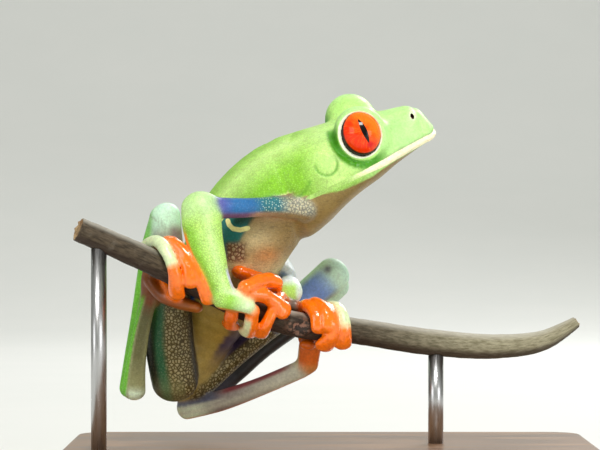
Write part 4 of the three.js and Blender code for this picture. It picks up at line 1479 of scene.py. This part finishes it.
def skin():
    """One seamless skin over all the flesh, with its coats laid as attributes."""
    limbs = all_limbs()
    points, faces = surface(skin_grid(limbs))
    points, faces = largest_part(points, faces)
    points = relax(points, faces, EVENING)
    piece = mesh_of("frog_skin", points, faces)
    piece = thinned(piece, SKIN_FACES, crisp_places(limbs, points_of(piece.data)))
    coats = painted(limbs, points_of(piece.data))
    width = len(COAT["back"])
    under, over, cover = coats[:, :width], coats[:, width:-1], coats[:, -1]
    finish = lay(under, over, ease(cover, -0.1, 0.1))[:, 3:]
    colour_attribute(piece.data, "tint", np.clip(under[:, :3], 0, 1))
    colour_attribute(piece.data, "over", np.clip(over[:, :3], 0, 1))
    number_attribute(piece.data, "cover", cover)
    vector_attribute(piece.data, "texture", finish[:, :3])
    number_attribute(piece.data, "speck", finish[:, 3])
    number_attribute(piece.data, "wet", finish[:, 4])
    piece.data.materials.append(skin_material())
    flesh = ["head", "lower_jaw", *limbs]
    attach(piece, "root")
    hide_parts(*flesh)


# ---------------------------------------------------------------- eyes

IRIS_EDGE = 1.08  # radians from the iris's middle to its rim
PUPIL_HALF = (0.125, 0.58)  # radians across and along the slit
PUPIL_TILT = math.radians(8)
EYE_RINGS, EYE_SPOKES = 96, 128


def iris_colour(nodes, ahead, up, radius, rays):
    """Red, more orange in front and above, with rays, a deep red spot and a dark rim."""
    cloud = nodes.noise(nodes.attribute("iris", "Vector"), 2.4, 3.0)
    amber = nodes.math("MULTIPLY_ADD", ahead, 0.55, nodes.times(up, 0.3))
    amber = nodes.plus(amber, nodes.math("MULTIPLY_ADD", cloud, 0.9, -0.35))
    colour = nodes.mix(nodes.remap(amber, -0.15, 0.55), (0.95, 0.035, 0.0, 1), (1.0, 0.2, 0.006, 1))
    colour = nodes.mix(nodes.remap(rays, 0.5, 0.75, 0.0, 0.5), colour, (1.0, 0.32, 0.03, 1))
    colour = nodes.mix(nodes.remap(rays, 0.44, 0.25, 0.0, 0.4), colour, (0.5, 0.0, 0.0, 1))
    spot = nodes.length(nodes.plus(up, 0.66), nodes.math("SUBTRACT", ahead, 0.05))
    colour = nodes.mix(nodes.remap(spot, 0.24, 0.05, 0.0, 0.8), colour, (0.7, 0.0, 0.01, 1))
    return nodes.mix(nodes.remap(radius, IRIS_EDGE - 0.1, IRIS_EDGE), colour, (0.012, 0.004, 0.004, 1))


def pupil_mask(nodes, ahead, up):
    """1 inside the slit, which narrows to a point at both ends."""
    across = nodes.math("DIVIDE", ahead, PUPIL_HALF[0])
    along = nodes.math("DIVIDE", up, PUPIL_HALF[1])
    swell = nodes.math("SUBTRACT", 1.0, nodes.times(along, along))
    slit = nodes.math("SUBTRACT", nodes.math("ABSOLUTE", across), nodes.math("MAXIMUM", swell, 0.0))
    slit = nodes.math("MAXIMUM", slit, nodes.math("SUBTRACT", nodes.math("ABSOLUTE", along), 1.0))
    return nodes.remap(slit, 0.12, -0.06)


def eye_material():
    """A glossy red eye: iris rays, a slit pupil and a dark rim, placed by the eye's own angles."""
    made, nodes, shader = material("frog eye")
    ahead, up, _ = nodes.split(nodes.attribute("iris", "Vector"))
    radius = nodes.length(ahead, up)
    angle = nodes.math("ARCTAN2", up, ahead)
    polar = nodes.add("ShaderNodeCombineXYZ")
    nodes.feed(polar.inputs[0], nodes.times(nodes.math("COSINE", angle), 5.0))
    nodes.feed(polar.inputs[1], nodes.times(nodes.math("SINE", angle), 5.0))
    nodes.feed(polar.inputs[2], nodes.times(radius, 1.2))
    rays = nodes.noise(polar.outputs[0], 2.6, 5.0, 0.65)
    colour = iris_colour(nodes, ahead, up, radius, rays)
    colour = nodes.mix(pupil_mask(nodes, ahead, up), colour, (0.003, 0.002, 0.002, 1))
    nodes.feed(shader.inputs["Base Color"], colour)
    shader.inputs["Roughness"].default_value = 0.35
    shader.inputs["Coat Weight"].default_value = 0.55
    shader.inputs["Coat Roughness"].default_value = 0.02
    shader.inputs["Specular IOR Level"].default_value = 0.05
    nodes.feed(shader.inputs["Normal"], bump(nodes, rays, 0.05, 0.4))
    return made


def eye(side, name, finish):
    """One eyeball, its rings centred on the iris so that the pupil lies on fine faces."""
    rings, spokes = EYE_RINGS, EYE_SPOKES
    out, ahead, up = eye_frame(side, *IRIS_TURN)
    along = ahead * math.cos(PUPIL_TILT) + up * math.sin(PUPIL_TILT)
    above = up * math.cos(PUPIL_TILT) - ahead * math.sin(PUPIL_TILT)
    points = [eye_centre(side) + out * EYE_HALF / np.linalg.norm(out)]
    iris = [(0.0, 0.0, 0.0)]
    for ring in range(1, rings):
        theta = math.pi * ring / rings
        for spoke in range(spokes):
            phi = 2 * math.pi * spoke / spokes
            way = out * math.cos(theta) + (along * math.cos(phi) + above * math.sin(phi)) * math.sin(theta)
            points.append(eye_centre(side) + way * EYE_HALF)
            iris.append((theta * math.cos(phi), theta * math.sin(phi), 0.0))
    points.append(eye_centre(side) - out * EYE_HALF)
    iris.append((math.pi, 0.0, 0.0))
    faces = turned_over(fan(1, 0, spokes))
    last = 1 + (rings - 2) * spokes
    for first in range(1, last, spokes):
        faces += band(first, first + spokes, spokes)
    faces += fan(last, len(points) - 1, spokes)
    if side > 0:
        faces = turned_over(faces)
    world = np.array(points) @ HEAD_FRAME.T + SNOUT
    piece = mesh_of(name, world, faces)
    vector_attribute(piece.data, "iris", iris)
    piece.data.materials.append(finish)
    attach(piece, "root")
    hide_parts(name)


# ---------------------------------------------------------------- perch

def wander(points, size, seed, waves=20):
    """A smooth random value between about -1 and 1 at each point, with features of a size in mm."""
    draw = np.random.default_rng(seed)
    ways = unit(draw.normal(size=(waves, 3))) * draw.uniform(0.6, 1.4, (waves, 1)) * 2 * math.pi / size
    shift = draw.uniform(0, 2 * math.pi, waves)
    return np.sin(points @ ways.T + shift).sum(1) / math.sqrt(waves)


KNOT_AT = (-4.9, 95.0)  # x and degrees round the perch
KNOT_HALF = (1.7, 48)  # its half size along the perch, and in degrees round it
BARK_ROUGH = 0.045
BARK_GIRTH = 1.9
BARK_LIMIT = 0.32
BARK_RINGS, BARK_SPOKES = 420, 72
BARK_END = 0.05  # how far inside the perch line's ends the first and last rings lie
TORN_RINGS = (0.86, 0.6, 0.3)  # sizes of the rings that close a broken end
TORN_DEPTH = 0.22


def bark_lift(x, angle, out, base):
    """How far the bark stands off a plain round, and how far each place lies from the knot."""
    flat = base.reshape(-1, 3)
    stretched = np.column_stack([np.repeat(x, len(angle)) * 0.22, (out * BARK_GIRTH).reshape(-1, 3)[:, 1:]])
    rough = wander(stretched, 0.7, 3) * 0.6 + wander(flat, 1.3, 5) * 0.5 + wander(flat, 0.5, 8) * 0.25
    rough = rough.reshape(len(x), len(angle))
    lift = -0.06 + BARK_ROUGH * rough * (1 - 0.6 * ease(x, -2, 8))[:, None]
    turn = (np.degrees(angle)[None, :] - KNOT_AT[1]) / KNOT_HALF[1]
    knot = np.hypot((x[:, None] - KNOT_AT[0]) / KNOT_HALF[0], turn)
    lift = lift + (0.3 * hump(knot - 0.8, 0.3) - 0.2 * hump(knot, 0.4)) * (1 + 0.5 * rough)
    return np.minimum(lift, BARK_LIMIT), knot


def broken_end(points, faces, start, spokes, middle, way, order):
    """Close an end of the perch with torn wood, in rings that shrink to its middle."""
    rim = np.array(points[start:start + spokes])
    previous = start
    closing = []
    for step, share in enumerate(TORN_RINGS):
        ring = middle + (rim - middle) * share
        torn = wander(ring, 0.9, 11 + step) * TORN_DEPTH * order
        first = len(points)
        points += list(ring + way * torn[:, None])
        closing += band(previous, first, spokes)
        previous = first
    points.append(middle + way * 0.1 * order)
    closing += fan(previous, len(points) - 1, spokes)
    faces += closing if order > 0 else turned_over(closing)


def perch():
    """The cut branch: ridged bark, a knot, a broken end and a thin tip."""
    rings, spokes = BARK_RINGS, BARK_SPOKES
    x = np.linspace(PERCH[0][0] + BARK_END, PERCH[-1][0] - BARK_END, rings)
    centre, tangent, front, top = perch_frames(x)
    angle = np.linspace(0, 2 * math.pi, spokes, endpoint=False)
    out = top[:, None] * np.cos(angle)[None, :, None] + front[:, None] * np.sin(angle)[None, :, None]
    base = centre[:, None] + out * perch_line(x)[:, 3][:, None, None]
    lift, knot = bark_lift(x, angle, out, base)
    points = list((base + out * lift[:, :, None]).reshape(-1, 3))
    round_side = len(points)
    faces = []
    for a in range(0, round_side - spokes, spokes):
        b = a + spokes
        faces += [(a + s, b + s, b + (s + 1) % spokes, a + (s + 1) % spokes) for s in range(spokes)]
    broken_end(points, faces, 0, spokes, centre[0], tangent[0], 1)
    broken_end(points, faces, round_side - spokes, spokes, centre[-1], tangent[-1], -1)
    points = np.array(points) + (0, 0, HANG)
    piece = mesh_of("perch", points, faces)
    ways = out.reshape(-1, 3)
    grain = points.copy()
    grain[:round_side, 0] = np.repeat(x, spokes)
    grain[:round_side, 1:] = ways[:, 1:] * BARK_GIRTH
    vector_attribute(piece.data, "grain", grain)
    ended = np.zeros(len(points) - round_side)
    number_attribute(piece.data, "upward", np.concatenate([0.5 + 0.5 * ways[:, 2], ended + 0.5]))
    number_attribute(piece.data, "worn", np.concatenate([np.zeros(round_side), ended + 1]))
    number_attribute(piece.data, "knot", np.concatenate([hump(knot.reshape(-1), 0.9), ended]))
    piece.data.materials.append(bark_material())
    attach(piece, "root")
    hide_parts("perch")


def bark_material():
    """Fibred bark, dark and brown near the broken end and grey at the tip, with a painted highlight on top
    and painted shade underneath.
    """
    made, nodes, shader = material("bark")
    grain = nodes.attribute("grain", "Vector")
    upward = nodes.attribute("upward")
    place = nodes.place()
    mapped = nodes.add("ShaderNodeMapping")
    mapped.inputs["Scale"].default_value = (0.25, 1.0, 1.0)
    nodes.feed(mapped.inputs["Vector"], grain)
    fibres = nodes.noise(mapped.outputs[0], 3.2, 6.0, 0.65)
    far = nodes.remap(nodes.split(grain)[0], 0.0, 26.0)
    patches = nodes.noise(place, 700.0, 4.0)
    near_colour = nodes.mix(nodes.remap(fibres, 0.35, 0.7), (0.026, 0.016, 0.006, 1), (0.09, 0.06, 0.03, 1))
    far_colour = nodes.mix(nodes.remap(fibres, 0.3, 0.7), (0.17, 0.15, 0.085, 1), (0.36, 0.33, 0.22, 1))
    colour = nodes.mix(far, near_colour, far_colour)
    # painted highlight along the top
    colour = nodes.mix(nodes.remap(upward, 0.7, 0.98, 0.0, 0.6), colour, (0.5, 0.47, 0.4, 1))
    # painted shade along the underside
    colour = nodes.mix(nodes.remap(upward, 0.42, 0.15, 0.0, 0.8), colour, (0.03, 0.014, 0.007, 1))
    colour = nodes.mix(nodes.remap(patches, 0.58, 0.75, 0.0, 0.25), colour, (0.2, 0.17, 0.13, 1))
    knot = nodes.times(nodes.attribute("knot"), 0.95)
    ridges = nodes.remap(nodes.noise(place, 1500.0, 2.0), 0.46, 0.62)
    colour = nodes.mix(knot, colour, nodes.mix(ridges, (0.02, 0.01, 0.008, 1), (0.3, 0.15, 0.1, 1)))
    wood = nodes.mix(nodes.remap(patches, 0.35, 0.65), (0.22, 0.12, 0.05, 1), (0.55, 0.38, 0.2, 1))
    colour = nodes.mix(nodes.attribute("worn"), colour, wood)
    nodes.feed(shader.inputs["Base Color"], colour)
    nodes.feed(shader.inputs["Roughness"], nodes.remap(fibres, 0.3, 0.7, 0.85, 0.6))
    height = nodes.plus(fibres, nodes.times(nodes.noise(place, 2600.0), 0.5))
    nodes.feed(shader.inputs["Normal"], bump(nodes, height, 0.07, 0.6))
    return made


# ---------------------------------------------------------------- stand

BASE_LENGTH, BASE_WIDTH, BASE_THICK = 76.0, 44.0, 3.0
BASE_CORNER = 5.0
BASE_BEVEL = 0.6
ROD_RADIUS = 1.1
ROD_CLEARANCE = 0.02


def wood_material():
    made, nodes, shader = material("stand wood")
    place = nodes.place((0.12, 1.0, 1.0))
    bands = nodes.noise(place, 420.0, 5.0, 0.6)
    pores = nodes.noise(nodes.place((0.05, 1.0, 1.0)), 3000.0, 3.0)
    colour = nodes.mix(nodes.remap(bands, 0.35, 0.68), (0.16, 0.08, 0.04, 1), (0.34, 0.19, 0.1, 1))
    colour = nodes.mix(nodes.remap(pores, 0.62, 0.72, 0.0, 0.5), colour, (0.07, 0.035, 0.018, 1))
    nodes.feed(shader.inputs["Base Color"], colour)
    nodes.feed(shader.inputs["Roughness"], nodes.remap(bands, 0.3, 0.7, 0.32, 0.44))
    shader.inputs["Coat Weight"].default_value = 0.25
    shader.inputs["Coat Roughness"].default_value = 0.2
    nodes.feed(shader.inputs["Normal"], bump(nodes, pores, 0.03, 0.3))
    return made


def steel_material():
    made, nodes, shader = material("brushed steel")
    lines = nodes.noise(nodes.place((1.0, 1.0, 0.03)), 9000.0, 3.0)
    colour = nodes.mix(lines, (0.42, 0.42, 0.43, 1), (0.62, 0.62, 0.63, 1))
    nodes.feed(shader.inputs["Base Color"], colour)
    shader.inputs["Metallic"].default_value = 1.0
    nodes.feed(shader.inputs["Roughness"], nodes.remap(lines, 0.3, 0.7, 0.26, 0.4))
    nodes.feed(shader.inputs["Normal"], bump(nodes, lines, 0.01, 0.3))
    return made


def stack(name, loops):
    """A closed body from loops of points, one over another, capped flat."""
    count = len(loops[0])
    last = (len(loops) - 1) * count
    faces = [tuple(reversed(range(count)))]
    for level in range(0, last, count):
        faces += band(level, level + count, count)
    faces.append(tuple(range(last, last + count)))
    piece = mesh_of(name, np.concatenate(loops), faces)
    smooth_faces(piece.data, corners=4)
    return piece


def base_loop(inset, height):
    """The base's rounded outline, moved in by inset, at a height."""
    turns = np.linspace(0, math.pi / 2, 13)
    radius = BASE_CORNER - inset
    corners = []
    for quarter, (sx, sy) in enumerate(((1, 1), (-1, 1), (-1, -1), (1, -1))):
        angle = turns + quarter * math.pi / 2
        x = sx * (BASE_LENGTH / 2 - BASE_CORNER) + radius * np.cos(angle)
        y = sy * (BASE_WIDTH / 2 - BASE_CORNER) + radius * np.sin(angle)
        corners.append(np.column_stack([x, y, np.full(len(angle), height)]))
    return np.concatenate(corners)


def underside(bark, ring, height):
    """How high each point of a rod's rim reaches before it touches the perch."""
    heights = np.full(len(ring), height)
    for _ in range(60):
        gap = bark.measure(ring[:, 0], ring[:, 1], heights)[0]
        heights = heights + np.clip(gap - ROD_CLEARANCE, 0, 2) * 0.8
    return heights


def stand():
    """A flat wooden base with rounded edges, and two steel rods up to the perch."""
    curve = np.linspace(0, math.pi / 2, 6)
    foot = BASE_BEVEL / 2
    rims = [(foot * (1 - math.sin(a)), foot * (1 - math.cos(a))) for a in curve]
    rims += [(BASE_BEVEL * (1 - math.cos(a)), BASE_THICK - BASE_BEVEL * (1 - math.sin(a))) for a in curve]
    base = stack("stand_base", [base_loop(inset, height) for inset, height in rims])
    base.data.materials.append(wood_material())
    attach(base, "root")
    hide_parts("stand_base")
    steel = steel_material()
    bark = perch_limb()
    for name in ("stand_rod_1", "stand_rod_2"):
        low, high = (np.array(corner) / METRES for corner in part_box(name))
        centre = (low + high) / 2
        angle = np.linspace(0, 2 * math.pi, 40, endpoint=False)
        ring = np.column_stack([np.cos(angle), np.sin(angle)]) * ROD_RADIUS + centre[:2]
        loops = [
            np.column_stack([ring, np.full(len(ring), BASE_THICK)]),
            np.column_stack([ring, underside(bark, ring, low[2])]),
        ]
        rod = stack(name, loops)
        rod.data.materials.append(steel)
        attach(rod, "root")
        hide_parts(name)


# ---------------------------------------------------------------- studio

CAMERA_AT = (-4.4, -405.0, 32.5 + HANG)
SUBJECT = (-4, 0, 32)
# Lamps: name, place, what it points at, size, power and colour.
LAMPS = [
    ("key", (60, -330, 430), SUBJECT, (160, 120), 1.9, (1.0, 0.98, 0.94)),
    ("fill", (-420, -380, 160), SUBJECT, (300, 300), 0.7, (1, 1, 1)),
    ("back", (200, 380, 330), SUBJECT, (200, 200), 1.3, (1, 1, 1)),
    ("side", (330, -260, 60), SUBJECT, (200, 200), 0.45, (1, 1, 1)),
    ("backdrop", (0, 430, 700), (0, 760, 40), (900, 100), 2.0, (1, 1, 1)),
]
WORLD_COLOUR, WORLD_STRENGTH = (0.96, 1.0, 0.9, 1), 0.35
FLOOR_FRONT, FLOOR_END = -1500, 450  # where the floor is flat
FLOOR_HALF = 2600
BEND_RADIUS, BEND_STEPS = 700, 32
BACKDROP_TOP = 2200
FRAME_WIDTH, FRAME_DISTANCE = 85.714, 400.0  # what the camera takes in, and how far off
SENSOR = 36.0


def camera():
    data = bpy.data.cameras.new("camera")
    data.sensor_width = SENSOR
    data.lens = SENSOR * FRAME_DISTANCE / FRAME_WIDTH
    data.clip_start = 0.01
    viewer = bpy.data.objects.new("camera", data)
    viewer.location = [place * METRES for place in CAMERA_AT]
    viewer.rotation_euler = (math.pi / 2, 0, 0)
    bpy.context.scene.collection.objects.link(viewer)
    bpy.context.scene.camera = viewer


def lamp(name, place, target, size, power, colour):
    data = bpy.data.lights.new(name, "AREA")
    data.shape = "RECTANGLE"
    data.size, data.size_y = (side * METRES for side in size)
    data.energy = power
    data.color = colour
    light = bpy.data.objects.new(name, data)
    way = unit(np.subtract(target, place))
    light.location = [value * METRES for value in place]
    yaw = math.atan2(way[1], way[0]) - math.pi / 2
    light.rotation_euler = (math.acos(-way[2]), 0, yaw)
    bpy.context.scene.collection.objects.link(light)


def floor():
    """A pale floor that curves up slowly into a backdrop."""
    profile = [(FLOOR_FRONT, 0), (FLOOR_END, 0)]
    for turn in (math.pi / 2 * step / BEND_STEPS for step in range(1, BEND_STEPS + 1)):
        profile.append((FLOOR_END + BEND_RADIUS * math.sin(turn), BEND_RADIUS - BEND_RADIUS * math.cos(turn)))
    profile.append((FLOOR_END + BEND_RADIUS, BACKDROP_TOP))
    points, faces = [], []
    for y, z in profile:
        points += [(-FLOOR_HALF, y, z), (FLOOR_HALF, y, z)]
    for i in range(len(profile) - 1):
        faces.append((2 * i, 2 * i + 1, 2 * i + 3, 2 * i + 2))
    piece = mesh_of("floor", points, faces)
    made, nodes, shader = material("pale floor")
    spread = nodes.noise(nodes.place(), 30.0, 2.0)
    nodes.feed(shader.inputs["Base Color"], nodes.mix(spread, (0.74, 0.75, 0.73, 1), (0.78, 0.78, 0.76, 1)))
    shader.inputs["Roughness"].default_value = 0.7
    piece.data.materials.append(made)


def studio():
    world = bpy.data.worlds.new("studio")
    bpy.context.scene.world = world
    world.use_nodes = True
    world.node_tree.nodes["Background"].inputs[0].default_value = WORLD_COLOUR
    world.node_tree.nodes["Background"].inputs[1].default_value = WORLD_STRENGTH
    for row in LAMPS:
        lamp(*row)
    bpy.context.scene.view_settings.view_transform = "Standard"


camera()
skin()
eye_finish = eye_material()
eye(-1, "right_eye", eye_finish)
eye(1, "left_eye", eye_finish)
perch()
stand()
floor()
studio()
